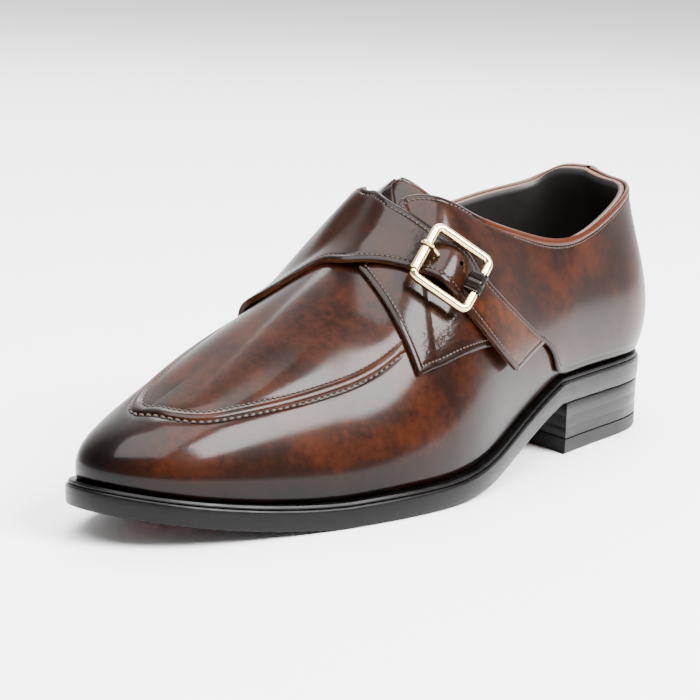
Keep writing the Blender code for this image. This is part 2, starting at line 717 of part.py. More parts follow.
reach, half = HEEL_CENTRE, BACK_STRIP / 2
back_cutter = prism("back_strip_cutter", [(-reach, -half), (reach, -half), (reach, half), (-reach, half)],
                    0.0, 2 * INSTEP_HEIGHT)
back_strip = form_patch("back_strip", 2 * GAP + PANEL, STRIP, STATIONS[:3], BROWN,
                        rows=np.linspace(0.83, 1, 5))
cut(back_strip, back_cutter, "INTERSECT")


# Buckle: frame with two narrow bars, roller, prong and the leather round the back bar

def swept(name, points, radius, closed, look):
    """Round bar along a line of points in the buckle's own frame."""
    curve = bpy.data.curves.new(name, "CURVE")
    curve.dimensions = "3D"
    curve.bevel_depth = radius
    curve.bevel_resolution = 3
    curve.use_fill_caps = True
    line = curve.splines.new("POLY")
    line.points.add(len(points) - 1)
    for spot, point in zip(line.points, points):
        spot.co = (*point, 1.0)
    line.use_cyclic_u = closed
    pattern = bpy.data.objects.new(name, curve)
    PARTS.objects.link(pattern)
    evaluated = pattern.evaluated_get(bpy.context.evaluated_depsgraph_get())
    bm = bmesh.new()
    bm.from_mesh(evaluated.to_mesh())
    bpy.data.objects.remove(pattern, do_unlink=True)
    made = add_part(name, mesh_from(bm, name), look)
    made.parent = BUCKLE
    return made


def rounded_frame():
    points = []
    radius = BUCKLE_CORNER - BAR / 2
    for k, (sx, sy) in enumerate(((1, 1), (-1, 1), (-1, -1), (1, -1))):
        for step in range(5):
            angle = math.radians(90 * k + 22.5 * step)
            points.append((sx * (HALF_WIDTH - radius) + radius * math.cos(angle),
                           sy * (HALF_HEIGHT - radius) + radius * math.sin(angle), 0))
    return points


frame = swept("buckle_frame", rounded_frame(), BAR / 2, True, BRASS)
for name, side, (low, high) in (("front_bar", -1, FRONT_BAR), ("back_bar", 1, BACK_BAR)):
    window = cylinder(name + "_cutter", 0.8 * BAR, (high - low) * BUCKLE_HEIGHT)
    core = cylinder(name + "_core", CORE, (high - low) * BUCKLE_HEIGHT + BAR / 4)
    for piece in (window, core):
        piece.parent = BUCKLE
        piece.location = (side * HALF_WIDTH, (low + high) / 2 * BUCKLE_HEIGHT, 0)
        piece.rotation_euler.x = math.radians(90)
    cut(frame, window)
    cut(frame, core, "UNION")

roller = add_part("buckle_roller", tube_mesh("buckle_roller", CORE + GAP, ROLLER / 2, ROLLER_LENGTH), BRASS)
roller.parent = BUCKLE
roller.location = (-HALF_WIDTH, ROLLER_START + ROLLER_LENGTH / 2, 0)
roller.rotation_euler.x = math.radians(90)

prong_round = CORE + GAP + PRONG / 2
prong_line = [(-HALF_WIDTH - prong_round * math.cos(angle), PRONG_SIDE, prong_round * math.sin(angle))
              for angle in np.radians(np.arange(0, 151, 15))]
prong_line += [(-HALF_WIDTH + 0.75 * PRONG_REACH, PRONG_SIDE, 0.0),
               (-HALF_WIDTH + PRONG_REACH, PRONG_SIDE, -0.45 * PRONG_DROP),
               (-HALF_WIDTH + PRONG_REACH, PRONG_SIDE, -PRONG_DROP)]
swept("buckle_prong", prong_line, PRONG / 2, False, BRASS)

chape_round = CORE + GAP + CHAPE
chape_outline = [(-2.0 * chape_round, -0.25 * chape_round), (-2.0 * chape_round, 0.25 * chape_round)]
chape_outline += [(chape_round * math.sin(angle), chape_round * math.cos(angle))
                  for angle in np.radians(np.arange(-20, 201, 20))]
bm = bmesh.new()
chape_half = ((BACK_BAR[1] - BACK_BAR[0]) * BUCKLE_HEIGHT) / 2 - GAP
loops = [[bm.verts.new((x, side * chape_half, z)) for x, z in chape_outline] for side in (-1, 1)]
bridge(bm, *loops)
for loop in loops:
    bm.faces.new(loop)
chape = add_part("buckle_chape", mesh_from(bm, "buckle_chape"), BROWN)
chape.parent = BUCKLE
chape.location = (HALF_WIDTH, (BACK_BAR[0] + BACK_BAR[1]) / 2 * BUCKLE_HEIGHT, 0)
chape_hole = cylinder("chape_hole_cutter", CORE + GAP, BUCKLE_HEIGHT)
chape_hole.parent = BUCKLE
chape_hole.location = chape.location
chape_hole.rotation_euler.x = math.radians(90)
cut(chape, chape_hole)
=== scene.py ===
"""Looks of the left monk strap shoe: burnished calf upper, black leather sole, brass buckle.

Metres. The origin lies on the floor under the middle of the heel, +X runs to the toe and
+Y to the outer side of the foot. Pieces are made in the sole's own place, with x = 0 at its
back. A place is a share of the sole's length, a width a share of the ball's, and a height of
the instep's. A station runs along the sole's edge from 0 at the back to 1 at the toe.
"""
import math

import bmesh
import bpy
import numpy as np
from mathutils import Matrix, Vector


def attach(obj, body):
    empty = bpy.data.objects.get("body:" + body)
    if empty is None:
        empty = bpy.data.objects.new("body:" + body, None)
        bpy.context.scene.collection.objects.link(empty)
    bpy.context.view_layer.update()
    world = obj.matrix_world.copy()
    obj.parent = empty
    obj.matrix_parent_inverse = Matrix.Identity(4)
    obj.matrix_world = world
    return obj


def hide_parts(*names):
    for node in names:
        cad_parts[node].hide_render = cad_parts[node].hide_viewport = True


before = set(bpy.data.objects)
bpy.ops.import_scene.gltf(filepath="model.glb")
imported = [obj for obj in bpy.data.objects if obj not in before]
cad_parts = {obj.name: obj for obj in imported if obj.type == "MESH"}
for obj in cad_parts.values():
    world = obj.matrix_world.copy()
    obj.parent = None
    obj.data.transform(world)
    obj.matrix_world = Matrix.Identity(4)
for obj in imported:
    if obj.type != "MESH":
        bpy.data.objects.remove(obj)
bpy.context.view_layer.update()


# Outsole
# A leather sole, 9 mm thick at the back's edge and 7 mm at the toe's. It is black and polished
# on its side and round its margin, and burgundy in the middle of its underside. A sewn channel
# runs round the forefoot.

MM = 0.001
LENGTH = 288 * MM
BALL_WIDTH = 94 * MM
HEEL_HEIGHT = 19.6 * MM
TOE_SPRING = 11 * MM
SOLE_EDGE = 7.4 * MM                   # thickness at the edge, before its taper
GAP = 0.3 * MM                         # between pieces that touch
HEEL_CENTRE = 0.135 * LENGTH
BREAST = 0.297                         # place where the arch leaves the heel
FLAT_START, FLAT_END = 0.625, 0.745    # places of the tread that lies on the floor
WAIST_DOME = 0.22                      # sag of the arch's middle, as a share of its height
BACK_POINT, TOE_POINT = 0.012, -0.060  # how far the two ends lie to the outer side
SOLE_OUTLINE = (
    # place, outer, inner
    (0.024, 0.240, 0.205),
    (0.076, 0.350, 0.315),
    (0.156, 0.388, 0.340),
    (0.240, 0.400, 0.330),
    (0.330, 0.425, 0.295),
    (0.434, 0.478, 0.310),
    (0.538, 0.540, 0.420),
    (0.642, 0.530, 0.468),
    (0.745, 0.455, 0.445),
    (0.833, 0.365, 0.400),
    (0.910, 0.265, 0.338),
    (0.965, 0.150, 0.266),
    (0.990, 0.046, 0.198),
)
UNDER_INSET = 1.3 * MM                 # sole's edge to the flat of its underside
RIM, RIM_FADE = 13.5 * MM, 9.0 * MM    # black rim, and how wide its change to burgundy is
CHANNEL_INSET = 15 * MM                # sole's edge to the sewn channel
CHANNEL = 1.1 * MM                     # its half width
CHANNEL_DEPTH = 0.5 * MM
CHANNEL_START, SEWN_START = 0.36, 0.40    # places where the channel and its stitches begin
CHANNEL_PITCH, CHANNEL_STITCH, CHANNEL_THREAD = 4.2 * MM, 3.4 * MM, 1.0 * MM
STITCH_SHAPE = (
    # share of its length, thickness, sink into the leather
    (0.00, 0.4, 0.6),
    (0.25, 1.0, 0.0),
    (0.75, 1.0, 0.0),
    (1.00, 0.4, 0.6),
)


def smooth_table(rows, column, places):
    """Values of one column of a table at the given places, on a natural cubic spline."""
    x = np.array([row[0] for row in rows], float)
    y = np.array([row[column] for row in rows], float)
    step = np.diff(x)
    slope = np.diff(y) / step
    count = len(x)
    matrix = np.zeros((count, count))
    right = np.zeros(count)
    matrix[0, 0] = matrix[-1, -1] = 1.0
    for i in range(1, count - 1):
        matrix[i, i - 1:i + 2] = step[i - 1], 2 * (step[i - 1] + step[i]), step[i]
        right[i] = 6 * (slope[i] - slope[i - 1])
    bend = np.linalg.solve(matrix, right)
    at = np.clip(np.asarray(places, float), x[0], x[-1])
    i = np.clip(np.searchsorted(x, at) - 1, 0, count - 2)
    a = (x[i + 1] - at) / step[i]
    b = (at - x[i]) / step[i]
    cubic = ((a ** 3 - a) * bend[i] + (b ** 3 - b) * bend[i + 1]) * step[i] ** 2 / 6
    return a * y[i] + b * y[i + 1] + cubic


def run_along(points):
    """Distance of every point of a line from the first."""
    return np.concatenate([[0.0], np.cumsum(np.linalg.norm(np.diff(points, axis=0), axis=1))])


def sole_outline():
    """Dense points round the sole's outline and their outward normals."""
    corners = [(0.0, BACK_POINT * BALL_WIDTH)]
    corners += [(p * LENGTH, outer * BALL_WIDTH) for p, outer, _ in SOLE_OUTLINE]
    corners += [(LENGTH, TOE_POINT * BALL_WIDTH)]
    corners += [(p * LENGTH, -inner * BALL_WIDTH) for p, _, inner in reversed(SOLE_OUTLINE)]
    lap = 4
    closed = np.array(corners[-lap:] + corners + corners[:lap])
    run = run_along(closed)
    places = np.linspace(run[lap], run[lap + len(corners)], 1600, endpoint=False)
    rows = list(zip(run, closed[:, 0], closed[:, 1]))
    points = np.stack([smooth_table(rows, 1, places), smooth_table(rows, 2, places)], 1)
    along = np.roll(points, -1, 0) - np.roll(points, 1, 0)
    normals = np.stack([-along[:, 1], along[:, 0]], 1)
    return points, normals / np.linalg.norm(normals, axis=1)[:, None]


OUTLINE, OUTWARD = sole_outline()


def edge_line(stations, side, inset):
    """Points and outward normals at the stations of one side, inset from the sole's edge."""
    points = OUTLINE - OUTWARD * inset
    back = points[:, 0].argmin()
    points, normals = np.roll(points, -back, 0), np.roll(OUTWARD, -back, 0)
    toe = points[:, 0].argmax()
    half = np.arange(toe + 1) if side > 0 else np.r_[0, np.arange(len(points) - 1, toe - 1, -1)]
    x, y = points[half].T
    at = x[0] + (x[-1] - x[0]) * (1 - np.cos(np.pi * np.asarray(stations))) / 2
    order = np.maximum.accumulate(x)
    normal = np.stack([np.interp(at, order, normals[half, k]) for k in (0, 1)], 1)
    normal /= np.linalg.norm(normal, axis=1)[:, None]
    return np.stack([at, np.interp(at, order, y)], 1), normal


def underside(x):
    """Height of the sole's underside: heel seat, arch, flat tread and toe spring."""
    place = np.asarray(x, float) / LENGTH
    arch = np.clip((place - BREAST) / (FLAT_START - BREAST), 0, 1)
    toe = np.clip((place - FLAT_END) / (1 - FLAT_END), 0, None)
    return HEEL_HEIGHT * (1 - arch) ** 2.3 * (1 + arch) + TOE_SPRING * toe ** 1.6


def sole_top(x):
    return underside(x) + SOLE_EDGE * (1.19 - 0.27 * np.asarray(x, float) / LENGTH)


def ring(inset, height, count=150):
    """Points round the shoe at one inset: outer side to the toe, then the inner side."""
    stations = np.linspace(0, 1, count + 1)
    outer, _ = edge_line(stations, 1, inset)
    inner, _ = edge_line(stations, -1, inset)
    line = np.concatenate([outer, inner[-2:0:-1]])
    return np.column_stack([line, height(line[:, 0])])


def bridge(bm, low, high, look=0):
    """Faces between two loops of points."""
    for i in range(len(low)):
        j = (i + 1) % len(low)
        bm.faces.new((low[i], low[j], high[j], high[i])).material_index = look


def stack(bm, lines, caps=False, closed=False):
    """Skin over loops of points, with a face at both ends or closed on itself."""
    loops = [[bm.verts.new(point) for point in line] for line in lines]
    for low, high in zip(loops, loops[1:] + loops[:1] if closed else loops[1:]):
        bridge(bm, low, high)
    if caps:
        bm.faces.new(loops[0])
        bm.faces.new(loops[-1])
    return loops


def cross_faces(bm, loop, strips, sag, look=0):
    """Close a ring with strips from its outer side to its inner side, sagging midway."""
    half = len(loop) // 2
    columns = []
    for i in range(half + 1):
        a, b = loop[i], loop[-i]
        column = [a]
        if a is not b:
            for k in range(1, strips):
                share = k / strips
                point = a.co.lerp(b.co, share)
                point.z -= sag(point.x) * 4 * share * (1 - share)
                column.append(bm.verts.new(point))
            column.append(b)
        columns.append(column)
    for near, far in zip(columns, columns[1:]):
        for k in range(strips):
            corners = [near[min(k, len(near) - 1)], near[min(k + 1, len(near) - 1)],
                       far[min(k + 1, len(far) - 1)], far[min(k, len(far) - 1)]]
            bm.faces.new(list(dict.fromkeys(corners))).material_index = look


def mesh_of(name, bm):
    """Turn mesh code's work into a mesh."""
    mesh = bpy.data.meshes.new(name)
    bm.to_mesh(mesh)
    bm.free()
    return mesh


def add_object(name, data):
    """Object in the scene with its mesh, lamp or lens."""
    made = bpy.data.objects.new(name, data)
    bpy.context.scene.collection.objects.link(made)
    return made


def add_piece(name, bm, looks, nodes=(), closed=True, sharp=35):
    """Finish a mesh as a piece of the shoe, placed in the row's frame."""
    bmesh.ops.remove_doubles(bm, verts=bm.verts, dist=0.000004)
    if closed:
        bmesh.ops.recalc_face_normals(bm, faces=bm.faces)
    mesh = mesh_of(name, bm)
    for look in looks:
        mesh.materials.append(look)
    mesh.shade_smooth()
    mesh.set_sharp_from_angle(angle=math.radians(sharp))
    made = add_object(name, mesh)
    made.location.x = -HEEL_CENTRE
    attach(made, "root")
    if nodes:
        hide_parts(*nodes)
    return made


def colour(code):
    """sRGB hex to linear, with alpha 1."""
    parts = [int(code[k:k + 2], 16) / 255 for k in (0, 2, 4)]
    return tuple(c / 12.92 if c <= 0.04045 else ((c + 0.055) / 1.055) ** 2.4 for c in parts) + (1.0,)


def connect(tree, node, inputs):
    """Set or link a node's inputs."""
    for name, value in inputs.items():
        if isinstance(value, bpy.types.NodeSocket):
            tree.links.new(value, node.inputs[name])
        else:
            node.inputs[name].default_value = value


def add_node(tree, kind, inputs, out=0, stops=(), **settings):
    """Add a node with its settings, colour stops and links, and return one of its outputs."""
    made = tree.nodes.new("ShaderNode" + kind)
    for name, value in settings.items():
        setattr(made, name, value)
    for k, (place, code) in enumerate(stops):
        element = made.color_ramp.elements[k] if k < 2 else made.color_ramp.elements.new(place)
        element.position = place
        element.color = colour(code)
    connect(tree, made, inputs)
    return made.outputs[out]


def new_material(name):
    """A material with its tree, its shader and object coordinates in metres."""
    made = bpy.data.materials.new(name)
    made.use_nodes = True
    tree = made.node_tree
    return made, tree, tree.nodes["Principled BSDF"], add_node(tree, "TexCoord", {}, 3)


# Edge ink on vegetable tanned leather: near black, waxed and burnished along the edge, so it
# shines softly with fine lengthwise streaks. Its specular level is set under the usual 0.5,
# because the photograph shows it deep black under white light
edge_ink, tree, shader, place = new_material("black edge ink on sole leather")
along = add_node(tree, "Mapping", {"Vector": place, "Scale": (0.12, 0.12, 1.0)})
streaks = add_node(tree, "TexNoise", {"Vector": along, "Scale": 1 / (1.1 * MM),
                                      "Detail": 4.0, "Roughness": 0.62})
dull = add_node(tree, "MapRange", {"Value": streaks, "From Min": 0.3, "From Max": 0.7,
                                   "To Min": 0.26, "To Max": 0.42})
bump = add_node(tree, "Bump", {"Height": streaks, "Distance": 0.05 * MM, "Strength": 0.6})
connect(tree, shader, {
    "Base Color": add_node(tree, "ValToRGB", {"Fac": streaks}, stops=[(0.32, "020101"), (0.72, "060505")]),
    "Roughness": dull, "Specular IOR Level": 0.14, "Normal": bump})

# Stained sole leather: burgundy aniline under a thin wax, black towards the rim, with grain
# that runs along the foot. The burnishing tool's ribs are drawn 0.9 mm apart, coarser than
# real, so that they show
bottom_stain, tree, shader, place = new_material("burgundy stain on sole leather")
along = add_node(tree, "Mapping", {"Vector": place, "Scale": (0.14, 1.0, 1.0)})
grain = add_node(tree, "TexNoise", {"Vector": along, "Scale": 1 / (2.4 * MM),
                                    "Detail": 5.0, "Roughness": 0.6})
ribs = add_node(tree, "TexWave", {"Vector": place, "Scale": 1 / (20 * 0.9 * MM), "Distortion": 1.5}, 1)
rim = add_node(tree, "Attribute", {}, 2, attribute_name="rim")
depth = add_node(tree, "Math", {0: grain, 1: 0.45, 2: 0.0}, operation="MULTIPLY_ADD")
depth = add_node(tree, "Math", {0: rim, 1: 0.80, 2: depth}, operation="MULTIPLY_ADD")
height = add_node(tree, "Math", {0: ribs, 1: 0.25, 2: grain}, operation="MULTIPLY_ADD")
connect(tree, shader, {
    "Base Color": add_node(tree, "ValToRGB", {"Fac": depth}, stops=[
        (0.10, "040303"), (0.95, "640409"), (0.34, "150204"), (0.60, "420307")]),
    "Roughness": add_node(tree, "MapRange", {"Value": grain, "From Min": 0.3, "From Max": 0.7,
                                             "To Min": 0.28, "To Max": 0.46}),
    "Specular IOR Level": 0.2, "Coat Weight": 0.12, "Coat Roughness": 0.22,
    "Normal": add_node(tree, "Bump", {"Height": height, "Distance": 0.07 * MM, "Strength": 0.7})})

# Waxed thread: matt, twisted, dark brown. The twist is drawn 0.3 mm long, coarser than
# real, so that it shows
thread, tree, shader, place = new_material("waxed brown thread")
twist = add_node(tree, "TexNoise", {"Vector": place, "Scale": 1 / (0.3 * MM), "Detail": 2.0})
connect(tree, shader, {
    "Base Color": add_node(tree, "ValToRGB", {"Fac": twist}, stops=[(0.3, "1c110c"), (0.7, "4a362b")]),
    "Roughness": 0.6, "Normal": add_node(tree, "Bump", {"Height": twist, "Distance": 0.08 * MM})})


def waist_sag(x):
    """The sole's middle hangs a little lower than its edge in the arch."""
    place = x / LENGTH
    window = np.clip((place - BREAST) / 0.03, 0, 1) * np.clip((FLAT_START - place) / 0.10, 0, 1)
    return WAIST_DOME * underside(x) * window


def point_at(line, run, at):
    """Point of a line at a distance from its start."""
    return np.array([np.interp(at, run, line[:, k]) for k in range(3)])


def sewn(points, outward, pitch, length, thick):
    """Small rounded stitches of thread laid end to end along a line."""
    run = run_along(points)
    bm = bmesh.new()
    for at in np.arange(pitch, run[-1] - 0.5 * pitch, pitch):
        start, end = (point_at(points, run, at + s * length / 2) for s in (-1, 1))
        up = Vector(point_at(outward, run, at)).normalized()
        along = Vector(end - start).normalized()
        side = along.cross(up).normalized()
        loops = []
        for share, radius, sink in STITCH_SHAPE:
            centre = Vector(start + (end - start) * share) - up * thick / 2 * sink
            loops.append([centre + thick / 2 * radius * (math.cos(a) * side + math.sin(a) * up)
                          for a in np.arange(6) * math.pi / 3])
        stack(bm, loops, caps=True)
    return bm


def joined(meshes):
    """One mesh from several."""
    whole = bmesh.new()
    for bm in meshes:
        mesh = mesh_of("stretch", bm)
        whole.from_mesh(mesh)
        bpy.data.meshes.remove(mesh)
    return whole


bm = bmesh.new()
rim_share = bm.verts.layers.float.new("rim")
loops = stack(bm, (
    ring(UNDER_INSET, underside),
    ring(0.55 * MM, lambda x: underside(x) + 0.25 * MM),
    ring(0.2 * MM, lambda x: underside(x) + 1.0 * MM),
    ring(0.0, lambda x: (sole_top(x) + underside(x)) / 2),
    ring(0.0, lambda x: sole_top(x) - 0.9 * MM),
    ring(0.15 * MM, lambda x: sole_top(x) - 0.4 * MM),
    ring(0.5 * MM, lambda x: sole_top(x) - 0.05 * MM),
    ring(0.9 * MM, sole_top),
))
cross_faces(bm, loops[-1], 1, lambda x: 0.0)


def bottom_ring(inset):
    """A ring on the underside, with the waist's sag and the sewn channel."""
    line = ring(inset, underside)
    opposite = np.concatenate([line[:1, 1], line[:0:-1, 1]])
    wide = ring(UNDER_INSET, underside)
    edge_to_edge = np.abs(wide[:, 1] - np.concatenate([wide[:1, 1], wide[:0:-1, 1]]))
    share = np.clip(np.abs(line[:, 1] - opposite) / (edge_to_edge + GAP), 0, 1)
    groove = np.clip(1 - abs(inset - CHANNEL_INSET) / CHANNEL, 0, 1) * CHANNEL_DEPTH
    groove = groove * np.clip((line[:, 0] / LENGTH - CHANNEL_START) / 0.03, 0, 1)
    line[:, 2] += groove - waist_sag(line[:, 0]) * (1 - share ** 2)
    return line


inner = loops[0]
for inset in np.r_[2.5:12.6:2.0, 13.6:16.8:0.4, 18.0:24.1:2.0] * MM:
    fresh = [bm.verts.new(p) for p in bottom_ring(inset)]
    for vert in fresh:
        vert[rim_share] = float(np.clip((inset - RIM) / RIM_FADE, 0, 1))
    bridge(bm, inner, fresh, 1)
    inner = fresh
before = set(bm.verts)
cross_faces(bm, inner, 6, lambda x: 0.25 * waist_sag(x), 1)
for vert in set(bm.verts) - before:
    vert[rim_share] = 1.0
add_piece("sole", bm, [edge_ink, bottom_stain], ["outsole"])

channel = bottom_ring(CHANNEL_INSET)
channel = channel[channel[:, 0] > SEWN_START * LENGTH]
stitches = sewn(channel, np.tile((0.0, 0.0, -1.0), (len(channel), 1)),
                CHANNEL_PITCH, CHANNEL_STITCH, CHANNEL_THREAD)
add_piece("channel_stitches", stitches, [thread])


# Welt
# A strip of black leather between upper and sole. Its upper face carries wheel marks across
# it, coarser than real so that they show, and its edge is trimmed a little inside the sole's.

WELT_INSET = 0.9 * MM
WELT_HEIGHT = 1.4 * MM
LEDGE = 2.6 * MM             # width that shows beside the upper
WALL = 2.2 * MM              # thickness of the upper with its lining
MARK = 0.12 * MM             # depth of a wheel mark
WELT_INNER = WELT_INSET + LEDGE + WALL + GAP

bm = bmesh.new()
welt_rings = [
    ring(WELT_INSET, lambda x: sole_top(x) + GAP, 300),
    ring(WELT_INSET - 0.1 * MM, lambda x: sole_top(x) + 0.5 * WELT_HEIGHT, 300),
    ring(WELT_INSET + 0.35 * MM, lambda x: sole_top(x) + WELT_HEIGHT, 300),
    ring(WELT_INNER, lambda x: sole_top(x) + WELT_HEIGHT, 300),
    ring(WELT_INNER, lambda x: sole_top(x) + GAP, 300),
]
welt_rings[2][:, 2] -= MARK * (np.arange(len(welt_rings[2])) % 2)
stack(bm, welt_rings, closed=True)
add_piece("welt_strip", bm, [edge_ink], ["welt"])


# Insole
# A thin leather board under the foot, dark brown and slightly dished, seen deep in the shoe.

INSOLE = 2.5 * MM
# Sock leather: unfinished, so it is matt and dark, with a soft nap
sock_leather, tree, shader, place = new_material("dark brown sock leather")
cloud = add_node(tree, "TexNoise", {"Vector": place, "Scale": 1 / (9 * MM),
                                    "Detail": 4.0, "Roughness": 0.6})
nap = add_node(tree, "TexNoise", {"Vector": place, "Scale": 1 / (0.8 * MM), "Detail": 2.0})
connect(tree, shader, {
    "Base Color": add_node(tree, "ValToRGB", {"Fac": cloud}, stops=[(0.3, "1a100c"), (0.7, "2a1b14")]),
    "Roughness": 0.65,
    "Normal": add_node(tree, "Bump", {"Height": nap, "Distance": 0.06 * MM, "Strength": 0.6})})

bm = bmesh.new()
loops = stack(bm, (
    ring(WELT_INNER + GAP, lambda x: sole_top(x) + GAP),
    ring(WELT_INNER + GAP, lambda x: sole_top(x) + GAP + 0.8 * INSOLE),
    ring(WELT_INNER + 0.7 * MM, lambda x: sole_top(x) + GAP + INSOLE),
))
cross_faces(bm, loops[0], 2, lambda x: 0.0)
cross_faces(bm, loops[-1], 8, lambda x: 0.8 * MM)
add_piece("insole_board", bm, [sock_leather], ["insole"])


# Heel
# Stacked leather lifts, inked black and polished so that their joints hardly show, over a
# black rubber top piece with a fine square grid on its tread. The front is hollow.

TOP_PIECE = 5.5 * MM
HEEL_INSET = 0.4 * MM
SHARP_EDGE = 0.6 * MM        # rounding of the rubber's lower edge
HEEL_FRONT = 0.285           # place of the heel's front corners
BREAST_HOLLOW = 8.0 * MM
LIFT = 4.4 * MM              # thickness of one leather lift
JOINT, JOINT_DEPTH = 0.12 * MM, 0.02 * MM    # half width and depth of a joint between lifts
GRID = 2.4 * MM              # spacing of the grid on the tread

# Moulded rubber: matt, near black, dusted, with a fine square grid pressed into its tread
heel_rubber, tree, shader, place = new_material("black moulded rubber")
cloud = add_node(tree, "TexNoise", {"Vector": place, "Scale": 1 / (4 * MM),
                                    "Detail": 4.0, "Roughness": 0.6})
rows = [add_node(tree, "TexWave", {"Vector": place, "Scale": math.pi / (10 * GRID)}, 1,
                 bands_direction=axis) for axis in "XY"]
grid_lines = add_node(tree, "Math", {0: rows[0], 1: rows[1]}, operation="MINIMUM")
grid_lines = add_node(tree, "Math", {0: grid_lines, 1: 3.0}, operation="MULTIPLY", use_clamp=True)
level = add_node(tree, "SeparateXYZ", {"Vector": place}, 2)
tread = add_node(tree, "MapRange", {"Value": level, "From Min": 0.1 * MM, "From Max": SHARP_EDGE,
                                    "To Min": 1.0, "To Max": 0.0})
grid_lines = add_node(tree, "Math", {0: grid_lines, 1: tread}, operation="MULTIPLY")
height = add_node(tree, "Math", {0: cloud, 1: 0.3, 2: grid_lines}, operation="MULTIPLY_ADD")
connect(tree, shader, {
    "Base Color": add_node(tree, "ValToRGB", {"Fac": cloud}, stops=[(0.3, "060606"), (0.7, "100f0e")]),
    "Roughness": 0.58, "Specular IOR Level": 0.25,
    "Normal": add_node(tree, "Bump", {"Height": height, "Distance": 0.25 * MM, "Strength": 0.8})})


def heel_ring(inset, z):
    """Outline of the heel with its hollow front, at one height."""
    last = math.acos(1 - 2 * HEEL_FRONT) / math.pi
    stations = np.linspace(0, last, 60)
    outer, _ = edge_line(stations, 1, inset)
    inner, _ = edge_line(stations, -1, inset)
    share = np.linspace(0, 1, 30)[1:-1, None]
    hollow = inner[-1] + (outer[-1] - inner[-1]) * share
    hollow[:, 0] -= BREAST_HOLLOW * 4 * (share * (1 - share))[:, 0]
    line = np.concatenate([outer[::-1], inner[1:], hollow])
    return np.column_stack([line, np.full(len(line), z)])


def heel_piece(name, levels, look, node):
    """A part of the heel, from the inset and height of each outline, lowest first."""
    bm = bmesh.new()
    stack(bm, [heel_ring(inset, z) for inset, z in levels], caps=True)
    add_piece(name, bm, [look], [node])


heel_piece("heel_top_piece_rubber", [
    (HEEL_INSET + SHARP_EDGE, 0.0),
    (HEEL_INSET + 0.4 * SHARP_EDGE, 0.35 * SHARP_EDGE),
    (HEEL_INSET, SHARP_EDGE),
    (HEEL_INSET, TOP_PIECE - 0.1 * MM),
    (HEEL_INSET + 0.1 * MM, TOP_PIECE),
], heel_rubber, "heel_top_piece")
levels = [(HEEL_INSET + 0.25 * MM, TOP_PIECE + GAP), (HEEL_INSET, TOP_PIECE + 2 * GAP)]
for lift in (1, 2):
    z = TOP_PIECE + lift * LIFT
    levels += [(HEEL_INSET, z - JOINT), (HEEL_INSET + JOINT_DEPTH, z), (HEEL_INSET, z + JOINT)]
levels += [(HEEL_INSET, HEEL_HEIGHT - 2 * GAP), (HEEL_INSET + 0.2 * MM, HEEL_HEIGHT - GAP)]
heel_piece("heel_lifts", levels, edge_ink, "heel_block")


# Upper: vamp and apron
# One calf leather over a lining, pulled over a long almond last. A raised, hand sewn band
# runs round the apron, and the leather is burnished darker at the toe and the heel.

INSTEP_HEIGHT = 107 * MM
PANEL = 1.4 * MM             # thickness of a quarter
APRON_BAND = 4.2 * MM        # width of the raised band
APRON_RISE = 0.65 * MM
APRON_START = 0.605          # station where the band comes out from under the strap
APRON_GROWTH = 0.02          # stations over which it rises to its full height
APRON_DIP = 0.15 * MM        # how deep its lower stitches lie
APRON_PITCH, APRON_STITCH, APRON_THREAD = 2.5 * MM, 1.9 * MM, 0.85 * MM
EDGE_PITCH, EDGE_STITCH, FINE_THREAD = 1.9 * MM, 1.3 * MM, 0.55 * MM
THROAT_STATION = 0.58        # from here to the toe both sides share one ridge
CLOSING = 0.04               # stations over which the sides take up the ridge's slope
# The vamp gives way under the strap: stations where it starts and ends, rows, and how far
STRAP_START, STRAP_END, STRAP_ROWS = (0.585, 0.605), (0.650, 0.672), (0.86, 0.97)
VAMP_DROP = 1.6 * MM
TOP_EDGE = (
    # station, place, outer, inner, outer height, inner height
    (0.00, 0.050, 0.010, -0.010, 0.935, 0.935),
    (0.10, 0.058, 0.130, 0.115, 0.908, 0.928),
    (0.20, 0.078, 0.246, 0.220, 0.880, 0.872),
    (0.30, 0.174, 0.308, 0.268, 0.792, 0.838),
    (0.40, 0.300, 0.318, 0.280, 0.748, 0.800),
    (0.45, 0.375, 0.300, 0.262, 0.790, 0.815),
    (0.50, 0.446, 0.262, 0.235, 0.855, 0.870),
    (0.54, 0.484, 0.165, 0.150, 0.945, 0.925),
    (THROAT_STATION, 0.497, 0.000, 0.000, 1.000, 1.000),
    (0.64, 0.566, 0.000, 0.000, 0.825, 0.825),
    (0.70, 0.642, 0.000, 0.000, 0.705, 0.705),
    (0.80, 0.754, -0.030, 0.030, 0.566, 0.566),
    (0.90, 0.833, -0.045, 0.045, 0.463, 0.463),
    (1.00, 0.868, -0.050, 0.050, 0.418, 0.418),
)
SIDE_CURVE = (
    # station, rise, outer flare, inner flare, outer crown, inner crown, drop, swell
    (0.00, 0.33, 0.129, 0.129, 0.50, 0.50, 0.36, 0.014),
    (0.20, 0.34, 0.090, 0.090, 0.50, 0.50, 0.34, 0.013),
    (0.40, 0.38, 0.040, 0.070, 0.45, 0.45, 0.28, 0.010),
    (0.50, 0.38, 0.030, 0.060, 0.30, 0.25, 0.12, 0.000),
    (0.58, 0.40, 0.030, 0.030, 0.22, 0.14, 0.00, 0.000),
    (0.70, 0.43, 0.025, 0.030, 0.32, 0.42, 0.00, 0.000),
    (0.80, 0.48, 0.025, 0.025, 0.45, 0.60, 0.00, 0.000),
    (0.90, 0.52, 0.035, 0.035, 0.50, 0.62, 0.00, 0.000),
    (1.00, 0.55, 0.045, 0.045, 0.52, 0.52, 0.00, 0.000),
)
